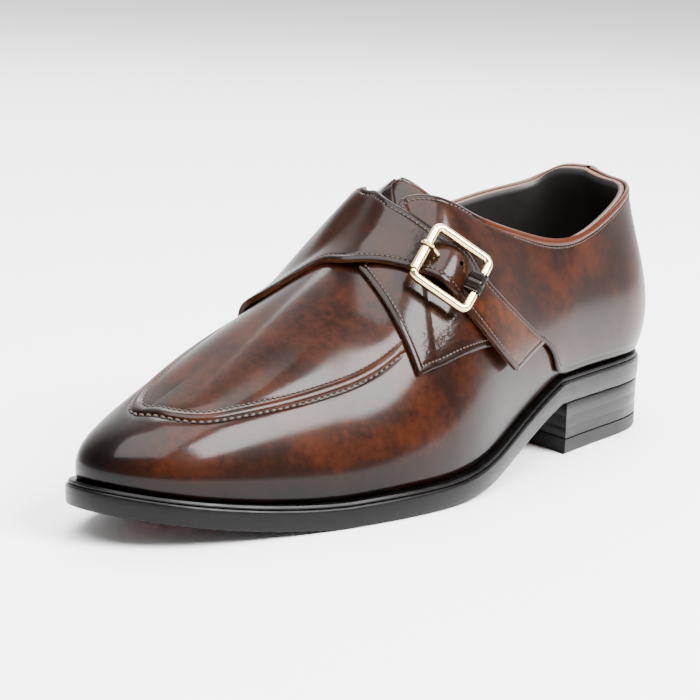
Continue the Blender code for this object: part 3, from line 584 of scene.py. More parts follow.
APRON_SEAM = (
    # station, lower edge of the raised band on the outer and on the inner side
    (0.00, 0.430, 0.430),
    (0.56, 0.380, 0.500),
    (0.66, 0.370, 0.560),
    (0.74, 0.380, 0.600),
    (0.80, 0.410, 0.620),
    (0.84, 0.445, 0.630),
    (0.88, 0.520, 0.645),
    (0.94, 0.640, 0.670),
    (1.00, 0.690, 0.690),
)
THROAT = (
    # place, half width, in plan
    (0.360, 0.262),
    (0.440, 0.265),
    (0.488, 0.238),
    (0.508, 0.170),
    (0.528, 0.112),
    (0.560, 0.070),
    (0.585, 0.000),
)


def fade(value, start, end):
    """Smooth step from 0 at start to 1 at end."""
    share = np.clip((np.asarray(value, float) - start) / (end - start), 0, 1)
    return share * share * (3 - 2 * share)


def shoe_form(stations, rows, side):
    """Grid of points on one side of the upper's outer form: [station, row, xyz]. Each row is
    a share of the way from the welt, 0, up to the top edge or the ridge, 1."""
    foot, outward = edge_line(stations, side, WELT_INSET + LEDGE)
    foot = np.column_stack([foot, sole_top(foot[:, 0]) + WELT_HEIGHT + GAP])
    outward = np.column_stack([outward, np.zeros(len(foot))])
    edge = {n: smooth_table(TOP_EDGE, n, stations) for n in range(1, 6)}
    half, height = (edge[2], edge[4]) if side > 0 else (-edge[3], edge[5])
    on_ridge = np.asarray(stations) > THROAT_STATION - 0.001
    half = np.where(on_ridge, 0.5 * (edge[2] - edge[3]), half)
    height = np.where(on_ridge, 0.5 * (edge[4] + edge[5]), height)
    top = np.stack([edge[1] * LENGTH, half * BALL_WIDTH, height * INSTEP_HEIGHT], 1)
    columns = (1, 2, 4, 6, 7) if side > 0 else (1, 3, 5, 6, 7)
    rise, flare, crown, drop, swell = (smooth_table(SIDE_CURVE, n, stations)[:, None] for n in columns)
    tall = (top - foot)[:, 2:]
    up = np.array([[0.0, 0.0, 1.0]])
    near = np.maximum(stations, THROAT_STATION + 0.005) + np.array([[-0.004], [0.004]])
    (low, high), (back, front) = smooth_table(TOP_EDGE, 4, near), smooth_table(TOP_EDGE, 1, near)
    ridge_slope = (high - low) * INSTEP_HEIGHT / ((front - back) * LENGTH)
    run = (foot - top) * (1, 1, 0)
    closing = fade(stations, THROAT_STATION - CLOSING, THROAT_STATION)
    lean = run[:, :1] * (ridge_slope * closing)[:, None]
    first = foot + rise * tall * up + flare * BALL_WIDTH * outward
    second = top + crown * run + swell * BALL_WIDTH * outward + (crown * lean - drop * tall) * up
    t = np.broadcast_to(rows, (len(foot), np.shape(rows)[-1]))[:, :, None]
    a, b, c, d = (p[:, None, :] for p in (foot, first, second, top))
    return a * (1 - t) ** 3 + 3 * b * t * (1 - t) ** 2 + 3 * c * t ** 2 * (1 - t) + d * t ** 3


def skin(grid, flip):
    """Outward normals over a grid of points."""
    along, across = np.gradient(grid, axis=0), np.gradient(grid, axis=1)
    normals = np.cross(along, across) if flip else np.cross(across, along)
    return normals / np.maximum(np.linalg.norm(normals, axis=2, keepdims=True), 1e-12)


BAND_PROFILE = (
    # across the band, height as a share of APRON_RISE
    (-0.30, 0.00), (-0.14, -0.25), (-0.02, -0.55), (0.05, -0.20), (0.14, 0.60), (0.28, 0.98),
    (0.45, 1.08), (0.62, 1.00), (0.76, 0.72), (0.88, 0.25), (0.96, -0.08), (1.05, -0.16), (1.25, 0.00),
)


def seam_rows(stations, side, across):
    """Rows at widths of the apron's band, 0 at its lower edge and 1 at its upper."""
    seam = smooth_table(APRON_SEAM, 1 if side > 0 else 2, stations)[:, None]
    curve = shoe_form(stations, np.linspace(0, 1, 9), side)
    girth = np.linalg.norm(np.diff(curve, axis=1), axis=2).sum(1)[:, None]
    return seam + APRON_BAND / girth * across


def band_rows(stations, side, below, above):
    """Rows that follow the apron's seam, and the height of the rolled band on each."""
    across, height = np.array(BAND_PROFILE).T
    middle = seam_rows(stations, side, across)
    low = middle[:, :1] * np.linspace(0, 1, below + 1)[:-1]
    high = middle[:, -1:] + (1 - middle[:, -1:]) * np.linspace(0, 1, above + 1)[1:]
    rows = np.concatenate([low, middle, high], 1)
    rise = np.zeros_like(rows)
    grown = fade(stations, APRON_START, APRON_START + APRON_GROWTH)[:, None]
    rise[:, below:below + len(across)] = grown * APRON_RISE * height
    return rows, rise


def leather_piece(name, sheets, offset, thickness, looks, node, inwards=False):
    """Leather over the form with its own thickness. Each sheet is a grid of points with the
    rise, the burnish with its painted shade and highlight, and the wrinkling of each point, and
    whether its faces turn over. The looks are grain side, flesh side and cut edge."""
    bm = bmesh.new()
    layers = [bm.verts.layers.float.new(key) for key in ("rise", "burnish_and_painted_light", "wrinkle")]
    for grid, rise, burnish_and_painted_light, wrinkle, flip in sheets:
        values = [np.broadcast_to(v, grid.shape[:2]) for v in (rise, burnish_and_painted_light, wrinkle)]
        verts = [[bm.verts.new(p) for p in line] for line in grid]
        for i, line in enumerate(verts):
            for j, vert in enumerate(line):
                for layer, value in zip(layers, values):
                    vert[layer] = float(value[i, j])
        for near, far in zip(verts, verts[1:]):
            for j in range(len(near) - 1):
                face = (near[j], near[j + 1], far[j + 1], far[j])
                bm.faces.new(face[::-1] if flip else face)
    bmesh.ops.remove_doubles(bm, verts=bm.verts, dist=0.00001)
    bm.normal_update()
    for vert in bm.verts:
        vert.co += vert.normal * (offset + vert[layers[0]])
    made = add_piece(name, bm, looks, [node], closed=False, sharp=60)
    step = made.modifiers.new("thickness", "SOLIDIFY")
    step.thickness = thickness
    step.offset = -1.0 if inwards else 1.0
    step.material_offset = 1 if inwards else 0
    step.material_offset_rim = 2
    return made


# Museum calf: aniline dye, cream and wax worked in by hand, so the colour runs from orange
# brown to near black in soft clouds, under a glossy coat. It is darker where the burnish
# attribute is high, which holds real burnishing together with painted shade in seam grooves,
# and lighter where it is below zero, a painted highlight on the collar's roll.
# Specular level and coat are set lower than a polish has, to keep the photograph's depth of
# colour under white light. Pores are drawn 0.45 mm wide, coarser than real, so that they show
def calf(name, dark, middle, light):
    """Calf in three colours, with small pulls where "wrinkle" is high."""
    made, tree, shader, place = new_material(name)
    cloud = add_node(tree, "TexNoise", {"Vector": place, "Scale": 1 / (30 * MM),
                                        "Detail": 5.0, "Roughness": 0.6})
    mottle = add_node(tree, "TexNoise", {"Vector": place, "Scale": 1 / (2.5 * MM),
                                         "Detail": 5.0, "Roughness": 0.7})
    pores = add_node(tree, "TexNoise", {"Vector": place, "Scale": 1 / (0.45 * MM), "Detail": 2.0})
    turned = add_node(tree, "Mapping", {"Vector": place, "Rotation": (0.0, 0.5, 0.6),
                                        "Scale": (0.35, 1.0, 1.0)})
    pulls = add_node(tree, "TexNoise", {"Vector": turned, "Scale": 1 / (1.6 * MM),
                                        "Detail": 3.0, "Distortion": 0.6})
    # The burnish attribute: real burnishing, plus painted shade in grooves and a painted highlight where
    # it is below zero
    burnish_and_painted_light = add_node(tree, "Attribute", {}, 2, attribute_name="burnish_and_painted_light")
    wrinkle = add_node(tree, "Attribute", {}, 2, attribute_name="wrinkle")
    tone = add_node(tree, "Math", {0: cloud, 1: 0.72, 2: 0.0}, operation="MULTIPLY_ADD")
    tone = add_node(tree, "Math", {0: mottle, 1: 0.30, 2: tone}, operation="MULTIPLY_ADD")
    tone = add_node(tree, "Math", {0: burnish_and_painted_light, 1: -0.35, 2: tone}, operation="MULTIPLY_ADD")
    fine = add_node(tree, "Math", {0: pores, 1: 0.12, 2: 0.0}, operation="MULTIPLY_ADD")
    pulled = add_node(tree, "Math", {0: pulls, 1: wrinkle}, operation="MULTIPLY")
    height = add_node(tree, "Math", {0: pulled, 1: 1.1, 2: fine}, operation="MULTIPLY_ADD")
    height = add_node(tree, "Math", {0: mottle, 1: 0.10, 2: height}, operation="MULTIPLY_ADD")
    bump = add_node(tree, "Bump", {"Height": height, "Distance": 0.25 * MM, "Strength": 0.6})
    connect(tree, shader, {
        "Base Color": add_node(tree, "ValToRGB", {"Fac": tone}, stops=[
            (0.22, dark), (0.70, light), (0.46, middle)]),
        "Roughness": add_node(tree, "MapRange", {"Value": mottle, "To Min": 0.26, "To Max": 0.44}),
        "Specular IOR Level": 0.06, "Coat Weight": 0.22, "Coat Roughness": 0.08, "Coat IOR": 1.45,
        "Normal": bump, "Coat Normal": bump})
    return made


vamp_calf = calf("burnished dark brown calf", "050101", "150501", "371503")

# Raw cut edge: fibrous tan leather, dyed thinly, matt
edge_leather, tree, shader, place = new_material("raw cut edge of tan leather")
fibres = add_node(tree, "TexNoise", {"Vector": place, "Scale": 1 / (0.6 * MM),
                                     "Detail": 3.0, "Roughness": 0.6})
connect(tree, shader, {
    "Base Color": add_node(tree, "ValToRGB", {"Fac": fibres}, stops=[(0.3, "2a1006"), (0.7, "5a2e12")]),
    "Roughness": 0.5,
    "Normal": add_node(tree, "Bump", {"Height": fibres, "Distance": 0.06 * MM, "Strength": 0.6})})

# Lining: thin leather dyed near black brown, with little shine
lining, tree, shader, place = new_material("near black lining leather")
cloud = add_node(tree, "TexNoise", {"Vector": place, "Scale": 1 / (5 * MM),
                                    "Detail": 5.0, "Roughness": 0.65})
connect(tree, shader, {
    "Base Color": add_node(tree, "ValToRGB", {"Fac": cloud}, stops=[(0.3, "060403"), (0.7, "100a08")]),
    "Roughness": 0.55,
    "Normal": add_node(tree, "Bump", {"Height": cloud, "Distance": 0.10 * MM, "Strength": 0.5})})


def cutter(name, outline, low, high):
    """Upright prism that cuts another piece."""
    bm = bmesh.new()
    stack(bm, [[(x, y, z) for x, y in outline] for z in (low, high)], caps=True)
    return hidden_tool(name, bm)


def hidden_tool(name, bm):
    """Object that is never seen and only cuts another piece."""
    bmesh.ops.recalc_face_normals(bm, faces=bm.faces)
    made = add_object(name, mesh_of(name, bm))
    made.location.x = -HEEL_CENTRE
    made.hide_render = True
    made.hide_viewport = True
    return made


def cut(piece, tool, operation="DIFFERENCE"):
    """Cut a piece with a hidden tool, or keep what lies inside it."""
    step = piece.modifiers.new(tool.name, "BOOLEAN")
    step.operation = operation
    step.solver = "EXACT"
    step.object = tool


stations = np.concatenate([np.linspace(0, 0.55, 40), np.linspace(0.55, 1, 110)[1:]])
toe_and_heel = 0.5 * fade(stations, 0.82, 1.0) + 0.4 * (1 - fade(stations, 0.0, 0.25))
sheets = []
for side in (1, -1):
    rows, rise = band_rows(stations, side, 14, 12)
    grid = shoe_form(stations, rows, side)
    # Painted shade: darker in the dips along the apron's raised band
    painted_seam_shade = 1.6 * np.clip(-rise / APRON_RISE, 0, 1)
    # Darker along the foot of the upper, next to the welt
    foot_edge = 0.6 * (1 - fade(rows, 0.02, 0.16))
    pressed = fade(stations, *STRAP_START) * (1 - fade(stations, *STRAP_END))
    rise = rise - VAMP_DROP * (pressed[:, None] * fade(rows, *STRAP_ROWS))
    sheets.append((grid, rise, toe_and_heel[:, None] + painted_seam_shade + foot_edge, 0.0, side < 0))
upper = leather_piece("vamp_and_lining", sheets, 0.0, WALL, [vamp_calf, lining, edge_leather],
                      "upper", inwards=True)
half = [(p * LENGTH, w * BALL_WIDTH) for p, w in THROAT]
cut(upper, cutter("throat_cutter", half + [(x, -y) for x, y in half[-2::-1]],
                  0.4 * INSTEP_HEIGHT, 2 * INSTEP_HEIGHT))


def seam_line(across, lift):
    """Line along the apron's band, from its outer end round the toe to its inner end."""
    stations = np.linspace(APRON_START + 0.004, 1, 260)
    halves = []
    for side in (1, -1):
        rows = seam_rows(stations, side, across + np.array([-0.05, 0.0, 0.05]))
        grid = shoe_form(stations, rows, side)
        normals = skin(grid, side < 0)[:, 1]
        halves.append((grid[:, 1] + normals * lift, normals))
    (points, normals), (back, turned) = halves
    return np.concatenate([points, back[-2::-1]]), np.concatenate([normals, turned[-2::-1]])


stitches = joined([sewn(*seam_line(0.02, -APRON_DIP), APRON_PITCH, APRON_STITCH, APRON_THREAD),
                   sewn(*seam_line(1.02, 0.0), EDGE_PITCH, EDGE_STITCH, FINE_THREAD)])
add_piece("apron_stitches", stitches, [thread])


# Tongue
# A folded calf tongue inside the throat; its rounded top stands up behind the strap.

TONGUE = 1.8 * MM
TONGUE_PLAN = (
    # place, half width, in plan, all round
    (0.400, 0.250),
    (0.560, 0.240),
    (0.630, 0.190),
    (0.655, 0.080),
    (0.655, -0.080),
    (0.630, -0.190),
    (0.560, -0.240),
    (0.400, -0.250),
)
stations = np.linspace(0.445, 0.74, 60)
rows = np.linspace(0.5, 1, 30)
top_edge = 0.5 * fade(rows, 0.93, 1.0)
sheets = [(shoe_form(stations, rows, side), 0.0, 0.15 + top_edge, 0.0, side < 0) for side in (1, -1)]
tongue = leather_piece("tongue_leather", sheets, -WALL - 2 * GAP - TONGUE, TONGUE,
                       [vamp_calf, vamp_calf, edge_leather], "tongue")
cut(tongue, cutter("tongue_cutter", [(p * LENGTH, w * BALL_WIDTH) for p, w in TONGUE_PLAN],
                   0.0, 2 * INSTEP_HEIGHT), "INTERSECT")


# Quarters
# Two calf panels that wrap the rear of the shoe from the back seam to the throat. The outer
# one ends in a sewn flap under the buckle, the inner one under the strap. The collar's edge
# is turned over into a thin roll with a row of stitches below it.

OUTER_QUARTER = (
    # along, lower edge's station and row, top edge's station and row
    (0.00, 0.006, 0.030, 0.006, 1.000),
    (0.15, 0.110, 0.030, 0.115, 1.000),
    (0.30, 0.230, 0.030, 0.235, 1.000),
    (0.44, 0.335, 0.030, 0.345, 1.000),
    (0.50, 0.367, 0.050, 0.392, 1.000),
    (0.56, 0.385, 0.200, 0.435, 1.000),
    (0.62, 0.412, 0.355, 0.478, 1.000),
    (0.70, 0.462, 0.403, 0.520, 0.960),
    (0.78, 0.505, 0.385, 0.550, 0.850),
    (0.86, 0.540, 0.340, 0.583, 0.790),
    (0.93, 0.572, 0.300, 0.612, 0.790),
    (1.00, 0.599, 0.295, 0.649, 0.775),
)
INNER_QUARTER = OUTER_QUARTER[:6] + (
    (0.62, 0.412, 0.340, 0.478, 1.000),
    (0.70, 0.440, 0.380, 0.520, 0.960),
    (0.78, 0.465, 0.400, 0.550, 0.860),
    (0.88, 0.492, 0.400, 0.572, 0.800),
    (1.00, 0.525, 0.380, 0.590, 0.760),
)
COLLAR_ROLL = 1.7 * MM       # width of the turned edge
ROLL_RISE, ROLL_DIP = 0.45 * MM, 0.38 * MM    # its height, and the depth of the dip below it
SEAM_INSET = 2.2 * MM        # edge to its stitches
SEAM_DENT, DENT_WIDTH = 0.16 * MM, 0.6 * MM    # dent along the stitches
EDGE_DROP, EDGE_ROUND = 0.30 * MM, 0.9 * MM    # rounding of a cut edge, down and inwards
LENGTHWAYS, ACROSS = 170, 64    # points of a quarter's grid
STITCH_PITCH, STITCH = 1.75 * MM, 1.2 * MM


def dense_ends(count):
    """Shares from 0 to 1, close together at both ends."""
    return 0.5 - 0.5 * np.cos(math.pi * np.linspace(0, 1, count))


def bell(value, middle, width):
    """1 at the middle, next to nothing two widths away."""
    return np.exp(-((value - middle) / width) ** 2)


def pressed_border(edges, depth, inset):
    """Rise of a border, sunk along its stitches and rounded off at its cut edge."""
    return -depth * bell(edges, inset, DENT_WIDTH) - EDGE_DROP * (1 - fade(edges, 0, EDGE_ROUND))


def loft(table, along, across, side=None):
    """Points on the form between two edges that a table gives along a piece of leather, close
    together at the borders. With no side, the rows are girths down from the ridge, those on
    the outer side negative."""
    place, share = dense_ends(along), dense_ends(across)
    edges = [smooth_table(table, n, place)[:, None] for n in (1, 2, 3, 4)]
    stations = (edges[0] + (edges[2] - edges[0]) * share).ravel()
    girth = (edges[1] + (edges[3] - edges[1]) * share).ravel()
    if side:
        points = shoe_form(stations, girth[:, None], side)[:, 0]
    else:
        outer, inner = (shoe_form(stations, 1 - np.abs(girth)[:, None], s)[:, 0] for s in (1, -1))
        points = np.where(girth[:, None] < 0, outer, inner)
    return points.reshape(along, across, 3)


def border_runs(grid):
    """Distance of every point from the first and last line, then from the two edges."""
    along = np.linalg.norm(np.diff(grid, axis=0), axis=2)
    across = np.linalg.norm(np.diff(grid, axis=1), axis=2)
    u = np.concatenate([np.zeros((1, grid.shape[1])), np.cumsum(along, 0)])
    v = np.concatenate([np.zeros((grid.shape[0], 1)), np.cumsum(across, 1)], 1)
    return u, u[-1:] - u, v, v[:, -1:] - v


def inset_line(surface, normals, border, inset):
    """Line at one distance inside a border of a surface: start, end, low or high."""
    turn = {"low": lambda a: a, "high": lambda a: a[:, ::-1],
            "start": lambda a: a.transpose(1, 0, 2), "end": lambda a: a[::-1].transpose(1, 0, 2)}[border]
    lines, ups = turn(surface), turn(normals)
    points, outward = [], []
    for line, up in zip(lines, ups):
        run = run_along(line)
        points.append(point_at(line, run, inset))
        outward.append(point_at(up, run, inset))
    return np.array(points), np.array(outward)


def trimmed(line, start, end):
    """A line without its first and last stretch, as shares of its length."""
    points, outward = line
    run = run_along(points)
    keep = (run >= start * run[-1]) & (run <= end * run[-1])
    return points[keep], outward[keep]


meshes = []
for name, node, table, side in (("outer_quarter_leather", "outer_quarter", OUTER_QUARTER, 1),
                                ("inner_quarter_leather", "inner_quarter", INNER_QUARTER, -1)):
    grid = loft(table, LENGTHWAYS, ACROSS, side)
    start, end, low, high = border_runs(grid)
    place = dense_ends(LENGTHWAYS)[:, None]
    collar = 1 - fade(place, 0.60, 0.70)
    roll = collar * (ROLL_RISE * bell(high, 0.45 * COLLAR_ROLL, 0.45 * COLLAR_ROLL)
                     - ROLL_DIP * bell(high, 1.35 * COLLAR_ROLL, 0.30 * COLLAR_ROLL))
    edges = np.minimum(np.minimum(end, low), np.where(collar > 0.5, high + 9 * MM, high))
    pressed = pressed_border(edges, SEAM_DENT, SEAM_INSET)
    # Painted shade in the dip below the collar's roll, and a painted highlight that lightens the roll's
    # top; both go into the burnish attribute
    groove = 1.1 * collar * bell(high, 1.35 * COLLAR_ROLL, 0.35 * COLLAR_ROLL)
    painted_roll_highlight = -0.9 * collar * (1 - fade(high, 0.6 * COLLAR_ROLL, 1.1 * COLLAR_ROLL))
    burnish_and_painted_light = 0.35 * (1 - fade(edges, 0, 6 * MM)) + 0.5 * (1 - fade(place, 0.0, 0.28)) + groove + painted_roll_highlight
    pulls = fade(place, 0.66, 0.80) * fade(edges, 2 * MM, 6 * MM) * (1 - fade(low, 8 * MM, 18 * MM))
    leather_piece(name, [(grid, roll + pressed, burnish_and_painted_light, pulls, side < 0)], GAP, PANEL,
                  [vamp_calf, vamp_calf, edge_leather], node)
    normals = skin(grid, side < 0)
    surface = grid + normals * (GAP + PANEL)
    seams = [trimmed(inset_line(surface, normals, "high", 1.75 * COLLAR_ROLL), 0.01, 0.60),
             trimmed(inset_line(surface, normals, "high", SEAM_INSET), 0.70, 0.99),
             trimmed(inset_line(surface, normals, "end", SEAM_INSET), 0.03, 0.97),
             trimmed(inset_line(surface, normals, "low", SEAM_INSET), 0.57, 0.99)]
    meshes += [sewn(*seam, STITCH_PITCH, STITCH, FINE_THREAD) for seam in seams]
add_piece("quarter_stitches", joined(meshes), [thread])


# Back strip
# A short calf strip sewn over the top of the back seam.

BACK_STRIP = 9.0 * MM
STRIP = 1.2 * MM
stations = np.linspace(0, 0.085, 16)
rows = np.linspace(0.83, 1, 20)
sheets = [(shoe_form(stations, rows, side), 0.0, 0.8, 0.0, side < 0) for side in (1, -1)]
strip = leather_piece("back_strip_leather", sheets, 2 * GAP + PANEL, STRIP,
                      [vamp_calf, vamp_calf, edge_leather], "back_strip")
# Half the box that trims the strip: far longer than it, and just as wide
half_box = np.array([HEEL_CENTRE, BACK_STRIP / 2])
corners = [half_box * signs for signs in ((-1, -1), (1, -1), (1, 1), (-1, 1))]
cut(strip, cutter("strip_cutter", corners, 0.0, 2 * INSTEP_HEIGHT), "INTERSECT")


# Strap
# One thick calf strap, cut wide on the inner side and sewn down there. It crosses the instep,
# bulges through the buckle under both bars and ends square on the outer side.

BUCKLE_WIDTH, BUCKLE_HEIGHT, BUCKLE_CORNER = 25.2 * MM, 24.6 * MM, 4.0 * MM
BAR, CORE = 3.2 * MM, 1.0 * MM    # frame's thickness, and the radius of the thin bars
BUCKLE_PLACE = (0.550, 0.382, 0.729)    # its middle: place, width and height
BUCKLE_TURN, BUCKLE_TILT, BUCKLE_ROLL = 27.8, 27.0, -38.4    # degrees
HALF_WIDTH = (BUCKLE_WIDTH - BAR) / 2
HALF_HEIGHT = (BUCKLE_HEIGHT - BAR) / 2
FRONT_BAR, BACK_BAR = (-0.394, 0.118), (-0.150, 0.190)    # ends as shares of the height
PRONG, PLAY, STUB = 1.5 * MM, 0.45 * MM, 1.0 * MM    # STUB is the bar beside the roller
PRONG_SIDE = FRONT_BAR[1] * BUCKLE_HEIGHT - PLAY - PRONG / 2
PRONG_REACH, PRONG_DROP = 5.2 * MM, 3.0 * MM
HUMP = 3.2 * MM              # bulge of the strap inside the buckle
STRAP_THICK = 1.8 * MM
SETTLE = 40                  # rounds that smooth the strap along its length
STRAP_SEAM = 2.0 * MM        # edge to its stitches
STRAP_DENT = 0.18 * MM       # depth of the dent along them
PUNCH = 0.85 * MM            # radius of a hole in the strap
# The prong's hole and two spare ones
HOLES = ((-HALF_WIDTH + PRONG_REACH, PRONG_SIDE), (2.6 * MM, 4.3 * MM), (8.0 * MM, -0.4 * MM))
STRAP = (
    # along, rear edge's station and girth, front edge's station and girth, and the lift of
    # both: 1 over a quarter, 0 on the vamp. A negative girth is on the outer side
    (0.00, 0.422, -0.635, 0.472, -0.715, 1.0, 1.0),
    (0.10, 0.458, -0.510, 0.508, -0.615, 1.0, 1.0),
    (0.20, 0.508, -0.400, 0.541, -0.545, 1.0, 1.0),
    (0.28, 0.545, -0.350, 0.570, -0.490, 1.0, 1.0),
    (0.34, 0.575, -0.310, 0.597, -0.430, 1.0, 1.0),
    (0.40, 0.598, -0.215, 0.622, -0.330, 1.0, 1.0),
    (0.46, 0.608, -0.110, 0.652, -0.200, 0.8, 0.9),
    (0.52, 0.612, 0.000, 0.680, -0.050, 0.3, 0.2),
    (0.58, 0.605, 0.110, 0.676, 0.100, 0.1, 0.0),
    (0.64, 0.590, 0.190, 0.686, 0.200, 0.6, 0.0),
    (0.70, 0.564, 0.235, 0.696, 0.290, 1.0, 0.3),
    (0.76, 0.530, 0.285, 0.682, 0.380, 1.0, 0.9),
    (0.82, 0.508, 0.355, 0.663, 0.465, 1.0, 1.0),
    (0.88, 0.497, 0.440, 0.642, 0.550, 1.0, 0.7),
    (0.94, 0.494, 0.530, 0.620, 0.630, 1.0, 0.2),
    (1.00, 0.500, 0.615, 0.599, 0.705, 1.0, 0.0),
)


def buckle_axes():
    """The buckle's own frame: x down the strap, y along the bars, z out of the shoe."""
    turn, tilt, roll = (math.radians(a) for a in (BUCKLE_TURN, BUCKLE_TILT, BUCKLE_ROLL))
    out = Vector((math.sin(turn) * math.cos(tilt), math.cos(turn) * math.cos(tilt), math.sin(tilt)))
    level = Vector((0, 0, 1)).cross(out).normalized()
    down = math.cos(roll) * level + math.sin(roll) * out.cross(level)
    return Matrix((down, out.cross(down), out)).transposed()


BUCKLE_AXES = buckle_axes()
BUCKLE_CENTRE = Vector([share * size for share, size in
                        zip(BUCKLE_PLACE, (LENGTH, BALL_WIDTH, INSTEP_HEIGHT))])


def in_buckle(made):
    """Place a piece that is made in the buckle's own frame."""
    centre = BUCKLE_CENTRE - Vector((HEEL_CENTRE, 0, 0))
    made.matrix_world = Matrix.Translation(centre) @ BUCKLE_AXES.to_4x4()
    return made


strap_calf = calf("burnished chestnut strap calf", "080201", "220c02", "532408")
along, across = 260, 64
grid = loft(STRAP, along, across)
for _ in range(SETTLE):
    grid[1:-1] = 0.25 * grid[:-2] + 0.5 * grid[1:-1] + 0.25 * grid[2:]
place, share = dense_ends(along)[:, None], dense_ends(across)[None, :]
rear, front = (smooth_table(STRAP, n, place[:, 0])[:, None] for n in (5, 6))
lift = (PANEL + GAP) * (rear + (front - rear) * fade(share, 0.42, 0.72))
local = (grid - np.array(BUCKLE_CENTRE)) @ np.array(BUCKLE_AXES)
down = np.clip(np.abs(local[..., 0]) / HALF_WIDTH, 0, 1)
sideways = np.clip(np.abs(local[..., 1]) / (HALF_HEIGHT + BAR), 0, 1)
near = np.abs(local[..., 2]) < BUCKLE_HEIGHT
bulge = HUMP * np.cos(down * math.pi / 2) ** 2 * (1 - sideways ** 3) * near
edges = np.minimum.reduce(border_runs(grid))
pressed = pressed_border(edges, STRAP_DENT, STRAP_SEAM)
burnish_and_painted_light = 0.30 * (1 - fade(edges, 0, 5 * MM)) + 0.45 * fade(place, 0.20, 0.34) - 0.10
pulls = 0.8 * bell(place, 0.37, 0.05) * fade(edges, MM, 4 * MM)
rise = lift + bulge + pressed
strap = leather_piece("strap_leather", [(grid, rise, burnish_and_painted_light, pulls, True)], 2 * GAP, STRAP_THICK,
                      [strap_calf, edge_leather, edge_leather], "strap")
for k, (x, y) in enumerate(HOLES):
    bm = bmesh.new()
    bmesh.ops.create_cone(bm, cap_ends=True, segments=20, radius1=PUNCH, radius2=PUNCH,
                          depth=2 * BUCKLE_WIDTH)
    bmesh.ops.translate(bm, verts=bm.verts, vec=(x, y, 0))
    cut(strap, in_buckle(hidden_tool("punch_%d" % k, bm)))

normals = skin(grid, True)
surface = grid + normals * (2 * GAP + STRAP_THICK + rise)[..., None]
seams = []
for border, start, end in (("low", 0.012, 0.99), ("high", 0.012, 0.99),
                           ("start", 0.10, 0.90), ("end", 0.10, 0.90)):
    seams.append(trimmed(inset_line(surface, normals, border, STRAP_SEAM), start, end))
add_piece("strap_stitches", joined([sewn(*seam, STITCH_PITCH, STITCH, FINE_THREAD) for seam in seams]),
          [thread])


# Buckle
# A cast brass frame, pale gold plated and polished bright, with a loose roller on its front
# bar and a prong bent from round wire that drops into the strap's hole.

ROLLER = 3.6 * MM            # its diameter
CHAMFER = 0.25 * MM
ROLLER_START = FRONT_BAR[0] * BUCKLE_HEIGHT + STUB
ROLLER_LENGTH = PRONG_SIDE - PRONG / 2 - PLAY - ROLLER_START
# Plated brass: pale gold, mirror polished, with faint hazy wear
brass, tree, shader, place = new_material("polished pale gold plated brass")
wear = add_node(tree, "TexNoise", {"Vector": place, "Scale": 1 / (1.5 * MM),
                                   "Detail": 4.0, "Roughness": 0.6})
connect(tree, shader, {
    "Base Color": add_node(tree, "ValToRGB", {"Fac": wear}, stops=[(0.3, "dcbf86"), (0.7, "ecd6a4")]),
    "Metallic": 1.0,
    "Roughness": add_node(tree, "MapRange", {"Value": wear, "To Min": 0.07, "To Max": 0.20}),
    "Normal": add_node(tree, "Bump", {"Height": wear, "Distance": 0.02 * MM, "Strength": 0.3})})


def wire(bm, points, radius, sides=18):
    """Round bar along points in the buckle's own frame."""
    points = [Vector(p) for p in points]
    rings = []
    for i, point in enumerate(points):
        along = (points[min(i + 1, len(points) - 1)] - points[max(i - 1, 0)]).normalized()
        side = along.cross(Vector((0.0, 0.0, 1.0)))
        if side.length < 0.5:
            side = along.cross(Vector((0.0, 1.0, 0.0)))
        side.normalize()
        other = along.cross(side)
        rings.append([point + radius * (math.cos(a) * side + math.sin(a) * other)
                      for a in np.arange(sides) * 2 * math.pi / sides])
    stack(bm, rings, caps=True)


corner = BUCKLE_CORNER - BAR / 2
arcs = []
for k, (sx, sy) in enumerate(((1, 1), (-1, 1), (-1, -1), (1, -1))):
    arcs.append([(sx * (HALF_WIDTH - corner) + corner * math.cos(a),
                  sy * (HALF_HEIGHT - corner) + corner * math.sin(a), 0)
                 for a in np.radians(np.arange(90 * k, 90 * k + 91, 10))])
bm = bmesh.new()
wire(bm, [(HALF_WIDTH, BACK_BAR[1] * BUCKLE_HEIGHT, 0)] + arcs[0] + arcs[1]
     + [(-HALF_WIDTH, FRONT_BAR[1] * BUCKLE_HEIGHT, 0)], BAR / 2)
lower_end = [p for p in arcs[2] if p[1] < FRONT_BAR[0] * BUCKLE_HEIGHT + 0.2 * MM]
wire(bm, lower_end + arcs[3] + [(HALF_WIDTH, BACK_BAR[0] * BUCKLE_HEIGHT, 0)], BAR / 2)
for side, (low, high) in ((-1, FRONT_BAR), (1, BACK_BAR)):
    wire(bm, [(side * HALF_WIDTH, y * BUCKLE_HEIGHT, 0) for y in (low - 0.01, high + 0.02)], CORE)
in_buckle(add_piece("buckle_frame_brass", bm, [brass], ["buckle_frame"]))

bm = bmesh.new()
sections = [(CORE + GAP, 0.0), (ROLLER / 2 - CHAMFER, 0.0), (ROLLER / 2, CHAMFER),
            (ROLLER / 2, ROLLER_LENGTH - CHAMFER), (ROLLER / 2 - CHAMFER, ROLLER_LENGTH),
            (CORE + GAP, ROLLER_LENGTH)]
stack(bm, [[(-HALF_WIDTH + r * math.cos(a), ROLLER_START + y, r * math.sin(a))
            for a in np.arange(28) * math.pi / 14] for r, y in sections], closed=True)
in_buckle(add_piece("buckle_roller_brass", bm, [brass], ["buckle_roller"]))

